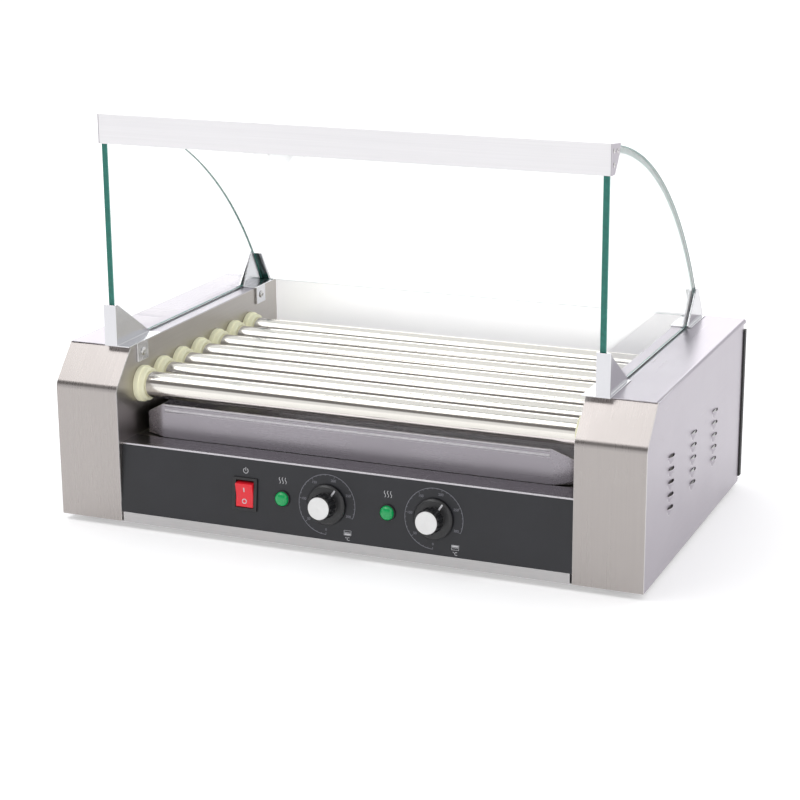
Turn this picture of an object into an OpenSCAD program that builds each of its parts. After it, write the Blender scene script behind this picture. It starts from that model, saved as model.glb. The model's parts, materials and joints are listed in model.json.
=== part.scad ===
// Countertop roller grill: two end housings carry a row of driven, heated tubes
// over a slide-out drip tray, under a curved glass hood.
// +X is to the operator's right, +Y is to the back, +Z is up. The origin is the
// centre of the bounding box at the level of the feet.

/* [Body] */
// Width across the two end housings
overall_w = 580; // [500:1:720]
// Depth from the faces of the end housings to the rear cover
body_d = 345; // [335:1:430]
// Height of the body above its feet
body_h = 165; // [160:1:200]
// Width of each end housing
end_w = 65; // [60:1:80]
// Height of the front face up to its fold
fold_h = 130; // [110:1:140]
// Distance that the sloping front runs back
slope_d = 31; // [20:1:40]
// Outside radius of the fold between the front and the slope
fold_r = 12; // [6:1:20]
// Outside radius of the fold between the top and the side
edge_r = 3; // [2:0.5:5]
// Thickness of the folded sheet
sheet_t = 1; // [0.8:0.1:1.5]
// Thickness of the bearing plates inside the end housings
plate_t = 1.5; // [1.5:0.1:3]
// Width of the flanges on the bearing plates
plate_flange = 12; // [10:1:16]
// Depth of the recess between the sides and the rear cover
rear_recess = 10; // [6:1:14]
// Height of the feet
foot_h = 6; // [5:1:20]
// Radius of a foot
foot_r = 11; // [8:1:15]

/* [Rollers] */
// Number of rollers
roller_count = 7; // [7:1:7]
// Outside diameter of a roller
roller_d = 25; // [20:0.5:30]
// Wall of a roller tube
roller_wall = 1; // [0.8:0.1:1.5]
// Clear gap from one roller to the next
roller_gap = 13.1; // [13:0.1:16]
// Height of the roller axes above the base
roller_z = 124.5; // [118:0.5:128]
// Distance of the first roller axis behind the front faces
roller_y = 48; // [46:0.5:54]
// Radial clearance of a roller in its bush
roller_clear = 0.05; // [0.02:0.01:0.1]
// Width of a bush's flange around the roller
bush_rim = 5; // [4:0.5:5.5]
// Length of a bush that stands proud of the bearing plate
bush_proud = 10; // [6:0.5:12]
// Radius of a heating element
element_r = 4.25; // [3:0.25:5]

/* [Drive] */
// Pitch of the drive chain
chain_pitch = 6.35; // [6.35:0.01:6.35]
// Height of a chain link's side plate
link_h = 5.2; // [4.8:0.1:5.4]
// Thickness of a chain link's side plate
link_t = 0.8; // [0.6:0.1:0.9]
// Clear width between the link plates
link_gap = 3.2; // [3.1:0.1:3.6]
// Thickness of a sprocket's toothed disc
sprocket_t = 2.6; // [2.4:0.1:2.8]
// Teeth of the motor and idler sprockets
small_teeth = 12; // [11:1:14]

/* [Control panel] */
// Height of the strip under the panel
strip_h = 10; // [8:1:14]
// Gap between that strip and the front covers
strip_gap = 2; // [0.5:0.5:3]
// Height of the ledge over the panel
ledge_z = 77; // [74:1:82]
// Lean of the panel from upright
panel_lean = 6; // [0:0.5:12]
// Thickness of the black facing
fascia_t = 0.8; // [0.5:0.1:1.5]
// Height of the controls along the panel
control_s = 33; // [31:0.5:36]
// Place across the panel of the power switch
switch_x = -94; // [-110:1:-90]
// Place across the panel of the front zone's lamp
front_lamp_x = -56; // [-58:1:-50]
// Place across the panel of the front zone's knob
front_knob_x = -11; // [-14:1:0]
// Place across the panel of the back zone's lamp
back_lamp_x = 49; // [46:1:56]
// Place across the panel of the back zone's knob
back_knob_x = 94; // [90:1:110]
// Diameter of a knob's skirt
skirt_d = 38; // [34:1:44]
// Height of a knob over the panel
knob_h = 19; // [16:1:24]
// Angle of a knob's pointer, clockwise from the top
pointer_angle = 33; // [0:1:90]
// Lean of the rocker when it is off
rocker_lean = 8; // [4:1:9]

/* [Drip tray] */
// Distance of the tray's front behind the front faces
tray_y = 35; // [34:0.5:36]
// Height of the tray's front
tray_front_h = 33; // [30:0.5:39]
// Height of the tray's sides
tray_side_h = 21; // [12:0.5:26]
// Clear width left of the tray
tray_gap_left = 8; // [6:1:22]
// Clear width right of the tray
tray_gap_right = 10; // [10:1:22]
// Width of the tray's bevelled front corners
tray_corner = 22; // [12:1:26]
// Depth of the tray's bevelled front corners
tray_corner_d = 10; // [8:1:14]
// Thickness of the tray's sheet
tray_t = 0.8; // [0.6:0.1:1.2]

/* [Hood] */
// Height of the hood's top above the base
hood_z = 385; // [340:1:420]
// Thickness of the glass
glass_t = 6; // [5:0.5:6]
// Distance of a side glass from the side of the body
glass_inset = 46; // [46:1:50]
// Distance of the side glass's upright edge behind the front faces
glass_y = 26; // [24:1:34]
// Radius of the curved back
curve_r = 404; // [380:1:480]
// Height of the top bar's face
bar_h = 27.5; // [22:0.5:34]
// Depth of the top bar
bar_d = 25; // [20:1:34]
// Height of the front brackets
bracket_h = 40; // [32:1:50]
// Length of the front brackets
bracket_l = 62; // [50:1:75]

/* [Hidden] */

$fn = 64;
cut = 1;                    // overshoot of a cutting tool past its face
slip = 0.3;                 // gap between pieces that slide or that stay apart
seat = 0.02;                // gap round a piece that is seated in a hole
fold_steps = 10;            // straight steps in a sheet fold

half_w = overall_w / 2;
inner_x = half_w - end_w;   // face of a bearing plate that looks inwards
clad_x = half_w - sheet_t;  // inside face of an end cover's side

// ---- panel frame: s runs up the panel, n stands out of its face
panel_len = (ledge_z - strip_h) / cos(panel_lean);
panel_lip = 1.6;            // bright edge of the steel over the facing
grip_r = 12;                // radius of a knob's grip

// ---- origin: the knobs reach furthest forward and the cable gland furthest back
gland_out = 14;             // reach of the cable gland behind the rear cover
knob_front_y = (control_s - grip_r) * sin(panel_lean) - knob_h * cos(panel_lean);
front_y = -(body_d + gland_out + knob_front_y) / 2;

// ---- slope
slope_a = atan2(body_h - fold_h, slope_d);
top_lip = 2;                // overhang of the top over the slope

// ---- rollers and drive
roller_r = roller_d / 2;
roller_pitch = roller_d + roller_gap;
roller_last_y = roller_y + (roller_count - 1) * roller_pitch;
roller_over = 6;            // reach of a tube past its left bearing plate
sleeve_r = roller_r + roller_clear + 1.9;
bush_r = roller_r + bush_rim;
bush_proud_step = bush_proud / 2;   // reach of a bush's wider flange
element_end = 46;           // reach of an element past a bearing plate
pin_len = 8;                // length of an element's terminal pin
pin_r = 2;
sprocket_x = inner_x + plate_t + 11;
hub_wall = 1.2;
link_clear = 0.2;
gullet_r = 1.75;            // gullets take the chain's 3.3 mm rollers
tip_over = 1.2;             // height of the teeth over the pitch circle
needed_pitch_r = roller_r + hub_wall + link_h / 2 + link_clear;
roller_teeth = ceil(180 / asin(chain_pitch / 2 / needed_pitch_r));
roller_pitch_r = chain_pitch / 2 / sin(180 / roller_teeth);
small_pitch_r = chain_pitch / 2 / sin(180 / small_teeth);
tube_right_x = sprocket_x + sprocket_t / 2 + 3;
motor_y = roller_y + 1.7 * roller_pitch;
idler_y = roller_last_y - 1.6 * roller_pitch;
motor_z = 40;
idler_z = 56;
motor_r = 24;
motor_shaft_r = 4;
idler_stud_r = 4;
idler_half = 3.5;           // half the length of the idler's hub
small_hub_r = 7;
run_clear = 0.05;           // radial clearance of a shaft that turns

// ---- panel parts
neck_r = 4.9;               // threaded neck of a thermostat
spindle_r = 3;
lamp_r = 6;
lamp_dome_r = 8;
switch_w = 21.4;
switch_h = 27.4;
bezel_w = 25;
bezel_h = 31;
rocker_w = 17.6;
rocker_len = 24;
rocker_pivot_n = -6;        // depth of the rocker's pivot under the panel face
rocker_pin_r = 1.5;
cap_r = 10.5;
cap_t = 1.2;
skirt_h = 5;
knob_lift = 1.2;            // gap under a knob's skirt
flutes = 12;
spindle_top = knob_h - 6;   // reach of a spindle into its knob

// ---- tray
tray_z = ledge_z + slip;
tray_left = -inner_x + tray_gap_left;
tray_right = inner_x - tray_gap_right;
tray_back = roller_last_y + roller_r + 6;
tray_front_z = tray_z + tray_front_h;
tray_side_z = tray_z + tray_side_h;
tray_bevel = atan2(tray_corner_d, tray_corner);
// The hem is a bead over a ridge; each is [top, bottom, reach], down from the top.
tray_hem = [[0, 2.8, 1.2], [5.2, 8, 1]];

// ---- hood
glass_out = half_w - glass_inset;
glass_in = glass_out - glass_t;
glass_z = body_h + 1.2;
glass_back_y = body_d - 7;
arc_front = [bar_d + glass_y - 2, hood_z - 5];
arc_back = [glass_back_y, glass_z];
arc_mid = (arc_front + arc_back) / 2;
arc_chord = norm(arc_back - arc_front);
arc_dir = (arc_back - arc_front) / arc_chord;
arc_c = arc_mid + [arc_dir[1], -arc_dir[0]] * sqrt(pow(curve_r, 2) - pow(arc_chord / 2, 2));
clamp_t = 2;
clamp_gap = 0.3;
bracket_foot_t = 1;
rear_clamp_y = body_d - 56;

// ---- fasteners
screw_r = 2;
screw_head_r = 3.8;
screw_head_h = 1.8;

// ---------------------------------------------------------------- helpers

// A slab between two X planes; its outline is drawn in (y, z) of the body.
module slab_x(x0, x1) {
    translate([x0, front_y, foot_h]) rotate([90, 0, 90]) linear_extrude(x1 - x0) children();
}

// A slab between two Y planes; its outline is drawn in (x, z) of the body.
module slab_y(y0, y1) {
    translate([0, front_y + y1, foot_h]) rotate([90, 0, 0]) linear_extrude(y1 - y0) children();
}

// A slab between two Z planes; its outline is drawn in (x, y) of the body.
module slab_z(z0, z1) {
    translate([0, front_y, foot_h + z0]) linear_extrude(z1 - z0) children();
}

// A point of the body.
module at(x, y, z) {
    translate([x, front_y + y, foot_h + z]) children();
}

// A rod along X between two planes.
module rod_x(x0, x1, y, z, r) {
    at(x0, y, z) rotate([0, 90, 0]) cylinder(h = x1 - x0, r = r);
}

// The panel's own frame: X across, Y up the panel, Z out of it.
module on_panel(x, s) {
    at(x, s * sin(panel_lean), strip_h + s * cos(panel_lean))
        rotate([90 - panel_lean, 0, 0]) children();
}

// A point of the panel's section, in (y, z).
function panel_pt(s, n) = [
    s * sin(panel_lean) - n * cos(panel_lean),
    strip_h + s * cos(panel_lean) + n * sin(panel_lean)
];

// The point of the panel's section that is n out of its face and at height z.
function panel_at(z, n) = panel_pt((z - strip_h - n * sin(panel_lean)) / cos(panel_lean), n);

// Points of an arc about c, from angle a0 to angle a1.
function arc(c, r, a0, a1, steps) = [
    for (i = [0 : steps]) c + r * [cos(a0 + (a1 - a0) * i / steps), sin(a0 + (a1 - a0) * i / steps)]
];

// The fold at the top of the front face, set in from the outside by d.
function fold_centre() = [fold_r, fold_h - fold_r * (1 - sin(slope_a)) / cos(slope_a)];
function fold_arc(d) = arc(fold_centre(), fold_r - d, 180, 90 + slope_a, fold_steps);

// Where the slope, set in by d, reaches height z.
function slope_y(d, z) = (cos(slope_a) * (z - fold_h) + d) / sin(slope_a);

// Roller axis number i, counted from the front.
function axis_y(i) = roller_y + i * roller_pitch;

// Mirrors its children to the left when side is -1.
module on_side(side) {
    if (side < 0) {
        mirror([1, 0, 0]) children();
    } else {
        children();
    }
}

// A pan-head screw whose axis is Z, with its head up and its shank down.
module screw(len) {
    difference() {
        union() {
            cylinder(h = screw_head_h, r = screw_head_r, $fn = 32);
            translate([0, 0, -len]) cylinder(h = len + cut, r = screw_r, $fn = 32);
        }
        for (a = [0, 90])
            rotate([0, 0, a]) translate([-2.2, -0.4, screw_head_h - 0.9]) cube([4.4, 0.8, 2]);
    }
}

// ---------------------------------------------------------------- body shell

vent_pitch = 12;
vent_rows = 9;
vent_w = 60;
vent_slot = 4;
foot_x = half_w - 28;       // place of the feet across the body

function foot_y(back) = back == 0 ? 28 : body_d - 28;

module base_pan() {
    color("gainsboro") difference() {
        union() {
            slab_x(-clad_x, clad_x) translate([sheet_t, 0]) square([body_d - 2 * sheet_t, sheet_t]);
            slab_x(strip_gap - inner_x, inner_x - strip_gap) square([sheet_t, strip_h]);
            slab_x(-inner_x, inner_x) square([2 * sheet_t, sheet_t]);
            for (side = [-1, 1])
                on_side(side) slab_y(sheet_t, body_d - rear_recess - 2 * sheet_t)
                    translate([clad_x - sheet_t, 0]) square([sheet_t, strip_h]);
        }
        for (side = [-1, 1], i = [0 : vent_rows - 1])
            slab_z(-cut, sheet_t + cut)
                translate([side * inner_x / 2, body_d / 2 + (i - (vent_rows - 1) / 2) * vent_pitch])
                    translate([-vent_w / 2, 0]) square([vent_w, vent_slot]);
        for (x = [-1, 1], y = [0, 1])
            at(x * foot_x, foot_y(y), -cut) cylinder(h = sheet_t + 2 * cut, r = screw_r + seat, $fn = 32);
    }
}

module rubber_feet() {
    color("#202020") for (x = [-1, 1], y = [0, 1])
        at(x * foot_x, foot_y(y), -foot_h) {
            cylinder(h = foot_h, r1 = foot_r - 1, r2 = foot_r);
            translate([0, 0, foot_h - cut]) cylinder(h = cut + sheet_t, r = screw_r, $fn = 32);
        }
}

// Outline of a bearing plate, inside the sheet that covers it.
module plate_outline() {
    polygon(concat(
        [[sheet_t, sheet_t]], fold_arc(sheet_t),
        [[slope_y(sheet_t, body_h - sheet_t), body_h - sheet_t],
         [body_d - sheet_t, body_h - sheet_t], [body_d - sheet_t, sheet_t]]));
}

// A tool for a hole through a bearing plate.
module plate_bore(y, z, r) {
    rod_x(inner_x - cut, inner_x + plate_t + cut, y, z, r);
}

module bearing_plate(side) {
    color("silver") difference() {
        union() {
            on_side(side) slab_x(inner_x, inner_x + plate_t) plate_outline();
            on_side(side) slab_x(inner_x, inner_x + plate_flange)
                translate([sheet_t, sheet_t]) square([body_d - 2 * sheet_t, plate_t]);
            on_side(side) slab_x(inner_x, inner_x + plate_flange)
                translate([body_d - sheet_t - plate_t, sheet_t]) square([plate_t, body_h - 2 * sheet_t]);
        }
        for (i = [0 : roller_count - 1])
            on_side(side) plate_bore(axis_y(i), roller_z, sleeve_r + seat);
        for (y = bracket_screw_y)
            on_side(side) plate_bore(y, bracket_screw_z, screw_r + seat);
        for (z = rear_screw_z)
            at(side * rear_screw_x, body_d + cut, z) rotate([90, 0, 0])
                cylinder(h = plate_flange, r = screw_r + seat, $fn = 32);
        if (side > 0)
            plate_bore(motor_y, motor_z, motor_shaft_r + 2);
    }
}

module front_cover(side) {
    lip_z = body_h - sheet_t;
    color("whitesmoke") on_side(side) slab_x(inner_x, half_w) polygon(concat(
        [[0, 0]], fold_arc(0), [[slope_y(0, lip_z), lip_z], [slope_y(sheet_t, lip_z), lip_z]],
        [for (i = [fold_steps : -1 : 0]) fold_arc(sheet_t)[i]], [[sheet_t, 0]]));
}

// Outline of an end cover seen from the side; the front cover wraps round its front.
module end_outline() {
    d = sheet_t + seat;
    polygon(concat(
        [[d, 0]], fold_arc(d),
        [[slope_y(d, body_h - sheet_t), body_h - sheet_t], [slope_d - top_lip, body_h - sheet_t],
         [slope_d - top_lip, body_h], [body_d, body_h], [body_d, body_h - sheet_t - edge_r],
         [body_d - rear_recess, body_h - sheet_t - edge_r], [body_d - rear_recess, 0]]));
}

louvre_cols = 3;
louvre_rows = 5;
louvre_y = 78;
louvre_pitch_y = 76;
louvre_z = 55;
louvre_pitch_z = 12;
louvre_a = 10.3;            // radius of a scoop where its ball leaves the side
louvre_rise = 2.7;          // height of the ball's centre over the scoop's cut
louvre_out = 3;             // reach of a scoop out of the side
louvre_wall = 0.8;
louvre_r = (pow(louvre_a, 2) + pow(louvre_out, 2)) / (2 * louvre_out);

module for_each_louvre() {
    for (i = [0 : louvre_cols - 1], j = [0 : louvre_rows - 1])
        at(0, louvre_y + i * louvre_pitch_y, louvre_z + j * louvre_pitch_z) children();
}

// A pressed scoop that opens upwards: the part of a ball below its cut and outside x0.
module louvre_scoop(r, x0) {
    size = 2 * louvre_a;
    intersection() {
        translate([half_w + louvre_out - louvre_r, 0, louvre_rise]) sphere(r);
        translate([x0, -size / 2, -size]) cube([size, size, size]);
    }
}

module end_cover(side) {
    color("gainsboro") on_side(side) difference() {
        union() {
            intersection() {
                slab_x(inner_x, half_w) end_outline();
                difference() {
                    slab_y(0, body_d) edge_section(0);
                    slab_y(-cut, body_d + cut) edge_section(sheet_t);
                }
            }
            slab_x(half_w - 9, clad_x)
                translate([body_d - rear_recess - sheet_t, 2 * sheet_t])
                    square([sheet_t, body_h - 3 * sheet_t]);
            for_each_louvre() louvre_scoop(louvre_r, clad_x);
        }
        for_each_louvre() louvre_scoop(louvre_r - louvre_wall, clad_x - cut);
    }
}

// Section of the folded top and side, in (x, z), set in by d.
module edge_section(d) {
    over = d > 0 ? cut : 0;
    c = [half_w - edge_r, body_h - edge_r];
    polygon(concat([[inner_x - over, -over], [half_w - d, -over]],
        arc(c, edge_r - d, 0, 90, fold_steps), [[inner_x - over, body_h - d]]));
}

rear_inset = 6;
rear_x = half_w - rear_inset;
rear_screw_x = inner_x + 6.5;
rear_screw_z = [18, body_h / 2, body_h - 18];
gland_x = 180;
gland_z = 34;
gland_bore_r = 4.5;
gland_r = 8;
gland_in = 6;               // reach of the gland inside the rear cover
gland_nut_r = 11;
gland_nut_t = 4;

module rear_cover() {
    color("gainsboro") difference() {
        union() {
            slab_y(body_d - sheet_t, body_d) translate([-rear_x, 0]) square([2 * rear_x, body_h - sheet_t]);
            for (side = [-1, 1])
                on_side(side) slab_y(body_d - rear_recess, body_d)
                    translate([rear_x - sheet_t, sheet_t]) square([sheet_t, body_h - 2 * sheet_t - edge_r]);
        }
        for (side = [-1, 1], z = rear_screw_z)
            at(side * rear_screw_x, body_d + cut, z) rotate([90, 0, 0])
                cylinder(h = sheet_t + 2 * cut, r = screw_r + seat, $fn = 32);
        at(gland_x, body_d + cut, gland_z) rotate([90, 0, 0])
            cylinder(h = sheet_t + 2 * cut, r = gland_r - 1 + seat);
        for (i = [-4 : 4], j = [0 : 1])
            slab_y(body_d - sheet_t - cut, body_d + cut)
                translate([i * 14 - 2, 24 + j * 24]) square([4, 16]);
    }
}

edge_strip_out = 1.5;       // reach of a rubber edge strip past the side
edge_strip_back = 3;        // and its distance from the back

module rear_edge_strips() {
    color("#181818") for (side = [-1, 1])
        on_side(side) slab_y(body_d - rear_recess, body_d - edge_strip_back)
            translate([rear_x, 5]) square([rear_inset + edge_strip_out, body_h - 14]);
}

module cable_gland() {
    color("#222222") at(gland_x, body_d, gland_z) rotate([-90, 0, 0]) difference() {
        union() {
            cylinder(h = gland_nut_t, r = gland_nut_r, $fn = 6);
            cylinder(h = gland_out, r = gland_r);
            translate([0, 0, -sheet_t - gland_in])
                cylinder(h = gland_in + sheet_t + cut, r = gland_r - 1);
            translate([0, 0, -sheet_t - gland_nut_t])
                cylinder(h = gland_nut_t, r = gland_nut_r, $fn = 6);
        }
        translate([0, 0, -sheet_t - gland_in - cut])
            cylinder(h = gland_out + gland_in + sheet_t + 2 * cut, r = gland_bore_r);
    }
}

// ---------------------------------------------------------------- panel

module control_panel() {
    lip_s = panel_len - panel_lip;
    back_n = -fascia_t - sheet_t;
    color("gainsboro") difference() {
        slab_x(-inner_x, inner_x) polygon([
            panel_at(strip_h, -fascia_t), panel_pt(lip_s, -fascia_t), panel_pt(lip_s, 0),
            panel_at(ledge_z, 0), [tray_y, ledge_z], [tray_y, ledge_z - sheet_t],
            panel_at(ledge_z - sheet_t, back_n), panel_at(strip_h, back_n)]);
        panel_holes(fascia_t + sheet_t + cut);
    }
}

module panel_fascia() {
    color("#22252a") difference() {
        slab_x(-inner_x, inner_x) polygon([
            panel_at(strip_h, 0), panel_pt(panel_len - panel_lip, 0),
            panel_pt(panel_len - panel_lip, -fascia_t), panel_at(strip_h, -fascia_t)]);
        panel_holes(fascia_t + cut);
    }
}

// The holes for the controls, cut to a depth behind the panel's face.
module panel_holes(depth) {
    for (x = [front_knob_x, back_knob_x])
        on_panel(x, control_s) translate([0, 0, -depth]) cylinder(h = depth + cut, r = neck_r + seat);
    for (x = [front_lamp_x, back_lamp_x])
        on_panel(x, control_s) translate([0, 0, -depth]) cylinder(h = depth + cut, r = lamp_r + seat);
    on_panel(switch_x, control_s) translate([-switch_w / 2 - seat, -switch_h / 2 - seat, -depth])
        cube([switch_w + 2 * seat, switch_h + 2 * seat, depth + cut]);
}

module thermostat(x) {
    back_n = -fascia_t - sheet_t;
    color("silver") on_panel(x, control_s) difference() {
        union() {
            translate([-18, -16, back_n - 22]) cube([36, 32, 22]);
            translate([0, 0, back_n - cut]) cylinder(h = cut - back_n + 0.8, r = neck_r);
        }
        translate([0, 0, back_n - 12]) cylinder(h = 20, r = spindle_r + run_clear);
    }
}

module spindle(x) {
    color("silver") on_panel(x, control_s) translate([0, 0, -12])
        cylinder(h = 12 + spindle_top, r = spindle_r);
}

// The grip of a knob, with flutes for the fingers.
module knob_grip() {
    difference() {
        translate([0, 0, knob_lift]) cylinder(h = knob_h - knob_lift, r = grip_r);
        for (i = [0 : flutes - 1])
            rotate([0, 0, i * 360 / flutes]) translate([grip_r + 1.1, 0, skirt_h])
                cylinder(h = knob_h, r = 1.6, $fn = 24);
    }
}

module knob(x) {
    color("#161616") on_panel(x, control_s) difference() {
        union() {
            translate([0, 0, knob_lift])
                cylinder(h = skirt_h - knob_lift, r1 = skirt_d / 2, r2 = skirt_d / 2 - 1.5);
            knob_grip();
        }
        cylinder(h = spindle_top, r = spindle_r + seat);
        translate([0, 0, knob_h - cap_t]) cylinder(h = cap_t + cut, r = cap_r + seat);
        rotate([0, 0, -pointer_angle]) translate([-0.8, grip_r + 1.5, skirt_h - 0.4]) cube([1.6, 5, 1]);
    }
}

module knob_cap(x) {
    color("white") on_panel(x, control_s) translate([0, 0, knob_h - cap_t]) cylinder(h = cap_t, r = cap_r);
}

module power_switch() {
    color("#141414") on_panel(switch_x, control_s) difference() {
        union() {
            translate([-bezel_w / 2, -bezel_h / 2, 0]) cube([bezel_w, bezel_h, 1.8]);
            translate([-switch_w / 2, -switch_h / 2, -20]) cube([switch_w, switch_h, 20 + cut]);
        }
        translate([-rocker_w / 2 - slip, -rocker_len / 2 - 1, -14])
            cube([rocker_w + 2 * slip, rocker_len + 2, 20]);
        translate([-switch_w / 2 - cut, 0, rocker_pivot_n]) rotate([0, 90, 0])
            cylinder(h = switch_w + 2 * cut, r = rocker_pin_r + run_clear, $fn = 32);
    }
}

module power_rocker() {
    half = rocker_len / 2;
    color("red") on_panel(switch_x, control_s) translate([0, 0, rocker_pivot_n])
        rotate([rocker_lean, 0, 0]) {
            translate([-rocker_w / 2, 0, 0]) rotate([90, 0, 90]) linear_extrude(rocker_w)
                polygon([
                    [-half, 2], [-half + 0.8, 9.2], [0, 7.8], [half - 0.8, 9.2], [half, 2],
                    [2.2, -3], [-2.2, -3]]);
            translate([-switch_w / 2, 0, 0]) rotate([0, 90, 0])
                cylinder(h = switch_w, r = rocker_pin_r, $fn = 32);
        }
}

module pilot_lamps() {
    color("green") for (x = [front_lamp_x, back_lamp_x])
        on_panel(x, control_s) {
            cylinder(h = 1.6, r = lamp_dome_r);
            translate([0, 0, -18]) cylinder(h = 18 + cut, r = lamp_r);
            intersection() {
                translate([0, 0, -2.4]) sphere(r = 8, $fn = 64);
                cylinder(h = 10, r = lamp_dome_r);
            }
        }
}

// ---------------------------------------------------------------- trough

shelf_flange = 10;

module tray_shelf() {
    z = ledge_z - 2 * sheet_t;
    low = z - shelf_flange;
    web = inner_x - sheet_t;
    color("silver") slab_y(tray_y - 8, body_d - sheet_t) polygon([
        [-inner_x, low], [-inner_x, z + sheet_t], [inner_x, z + sheet_t], [inner_x, low],
        [web, low], [web, z], [-web, z], [-web, low]]);
}

// The tray's plan, set in by d, with bevelled front corners.
module tray_plan(d) {
    front_x = tray_corner + d * tan(tray_bevel / 2);
    side_y = tray_y + tray_corner_d + d * tan(45 - tray_bevel / 2);
    polygon([
        [tray_left + d, tray_back - d], [tray_left + d, side_y],
        [tray_left + front_x, tray_y + d], [tray_right - front_x, tray_y + d],
        [tray_right - d, side_y], [tray_right - d, tray_back - d]]);
}

// What is kept of the tray's walls, seen from the front: high between the bevels.
module tray_front_view() {
    polygon([
        [tray_left, tray_z], [tray_left, tray_side_z], [tray_left + tray_corner, tray_front_z],
        [tray_right - tray_corner, tray_front_z], [tray_right, tray_side_z], [tray_right, tray_z]]);
}

module drip_tray() {
    color("#8d8890") {
        difference() {
            union() {
                slab_z(tray_z, tray_side_z) tray_plan(0);
                intersection() {
                    slab_z(tray_z, tray_front_z) tray_plan(0);
                    slab_y(tray_y, tray_y + tray_corner_d) tray_front_view();
                }
            }
            slab_z(tray_z + tray_t, tray_front_z + cut) tray_plan(tray_t);
        }
        for (fold = tray_hem) {
            top = tray_front_z - fold[0];
            bottom = tray_front_z - fold[1];
            slab_x(tray_left + tray_corner + 2, tray_right - tray_corner - 2)
                polygon([
                    [tray_y, bottom], [tray_y - fold[2], bottom + 0.9],
                    [tray_y - fold[2], top - 0.7], [tray_y, top]]);
        }
    }
}

// ---------------------------------------------------------------- rollers and heating

module roller_bushes() {
    color("ivory") for (side = [-1, 1], i = [0 : roller_count - 1])
        on_side(side) difference() {
            union() {
                rod_x(inner_x - bush_proud_step, inner_x, axis_y(i), roller_z, bush_r);
                rod_x(inner_x - bush_proud, inner_x, axis_y(i), roller_z, bush_r - 1.8);
                rod_x(inner_x - cut, inner_x + plate_t + 1.5, axis_y(i), roller_z, sleeve_r);
            }
            rod_x(inner_x - bush_proud - cut, inner_x + plate_t + 3, axis_y(i), roller_z,
                roller_r + roller_clear);
        }
}

module roller(i) {
    color("gainsboro") difference() {
        rod_x(-inner_x - roller_over, tube_right_x, axis_y(i), roller_z, roller_r);
        rod_x(-inner_x - roller_over - cut, tube_right_x + cut, axis_y(i), roller_z,
            roller_r - roller_wall);
    }
}

module heating_elements() {
    color("dimgray") for (i = [0 : roller_count - 1]) {
        rod_x(-inner_x - element_end, inner_x + element_end, axis_y(i), roller_z, element_r);
        for (side = [-1, 1])
            on_side(side)
                rod_x(inner_x + element_end - cut, inner_x + element_end + pin_len,
                    axis_y(i), roller_z, pin_r);
    }
}

holder_t = 1.5;

module element_holders() {
    holder_x = inner_x + element_end - 8;
    margin = 14;
    arm_w = 8;
    arm_z = roller_z + roller_pitch_r + link_h / 2 + 4;
    color("silver") for (side = [-1, 1])
        on_side(side) difference() {
            union() {
                slab_x(holder_x, holder_x + holder_t) translate([roller_y - margin, roller_z - margin])
                    square([roller_last_y - roller_y + 2 * margin, arm_z + holder_t - roller_z + margin]);
                for (y = [roller_y - margin, roller_last_y + margin - arm_w])
                    slab_x(inner_x + plate_t, holder_x) translate([y, arm_z]) square([arm_w, holder_t]);
            }
            for (i = [0 : roller_count - 1])
                rod_x(holder_x - cut, holder_x + holder_t + cut, axis_y(i), roller_z, element_r + seat);
        }
}

// A toothed disc with gullets for the chain's rollers, its first gullet at the top.
module sprocket_disc(teeth, pitch_r, y, z) {
    difference() {
        rod_x(sprocket_x - sprocket_t / 2, sprocket_x + sprocket_t / 2, y, z, pitch_r + tip_over);
        for (i = [0 : teeth - 1]) {
            a = 90 + i * 360 / teeth;
            rod_x(sprocket_x - sprocket_t, sprocket_x + sprocket_t,
                y + pitch_r * cos(a), z + pitch_r * sin(a), gullet_r);
        }
    }
}

module roller_sprocket(i) {
    color("darkgray") difference() {
        union() {
            sprocket_disc(roller_teeth, roller_pitch_r, axis_y(i), roller_z);
            rod_x(sprocket_x - 6, sprocket_x + sprocket_t / 2, axis_y(i), roller_z, roller_r + hub_wall);
        }
        rod_x(sprocket_x - 6 - cut, sprocket_x + sprocket_t, axis_y(i), roller_z, roller_r + seat);
    }
}

module motor_sprocket() {
    color("darkgray") {
        sprocket_disc(small_teeth, small_pitch_r, motor_y, motor_z);
        rod_x(inner_x - 14, sprocket_x + 8, motor_y, motor_z, motor_shaft_r);
        rod_x(sprocket_x, sprocket_x + 6, motor_y, motor_z, small_hub_r);
    }
}

module idler_sprocket() {
    color("darkgray") difference() {
        union() {
            sprocket_disc(small_teeth, small_pitch_r, idler_y, idler_z);
            rod_x(sprocket_x - idler_half, sprocket_x + idler_half, idler_y, idler_z, small_hub_r);
        }
        rod_x(sprocket_x - 5, sprocket_x + 5, idler_y, idler_z, idler_stud_r + run_clear);
    }
}

module idler_bracket() {
    plate_x = inner_x + plate_t;
    color("silver") {
        difference() {
            slab_x(plate_x, plate_x + 2) translate([idler_y - 12, idler_z - 22]) square([24, 44]);
            rod_x(plate_x - cut, plate_x + 3, idler_y, idler_z - 16, 2.2);
            rod_x(plate_x - cut, plate_x + 3, idler_y, idler_z + 16, 2.2);
        }
        rod_x(plate_x + 1, sprocket_x - idler_half - slip, idler_y, idler_z, idler_stud_r + 2);
        rod_x(plate_x + 1, sprocket_x + 6, idler_y, idler_z, idler_stud_r);
        rod_x(sprocket_x + idler_half + slip, sprocket_x + 6, idler_y, idler_z, idler_stud_r + 2);
    }
}

// The chain's path: arcs on the wheels, in turn anticlockwise from the first roller.
chain_wheels = [
    [roller_y, roller_z, roller_pitch_r], [motor_y, motor_z, small_pitch_r],
    [idler_y, idler_z, small_pitch_r], [roller_last_y, roller_z, roller_pitch_r]
];

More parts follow.
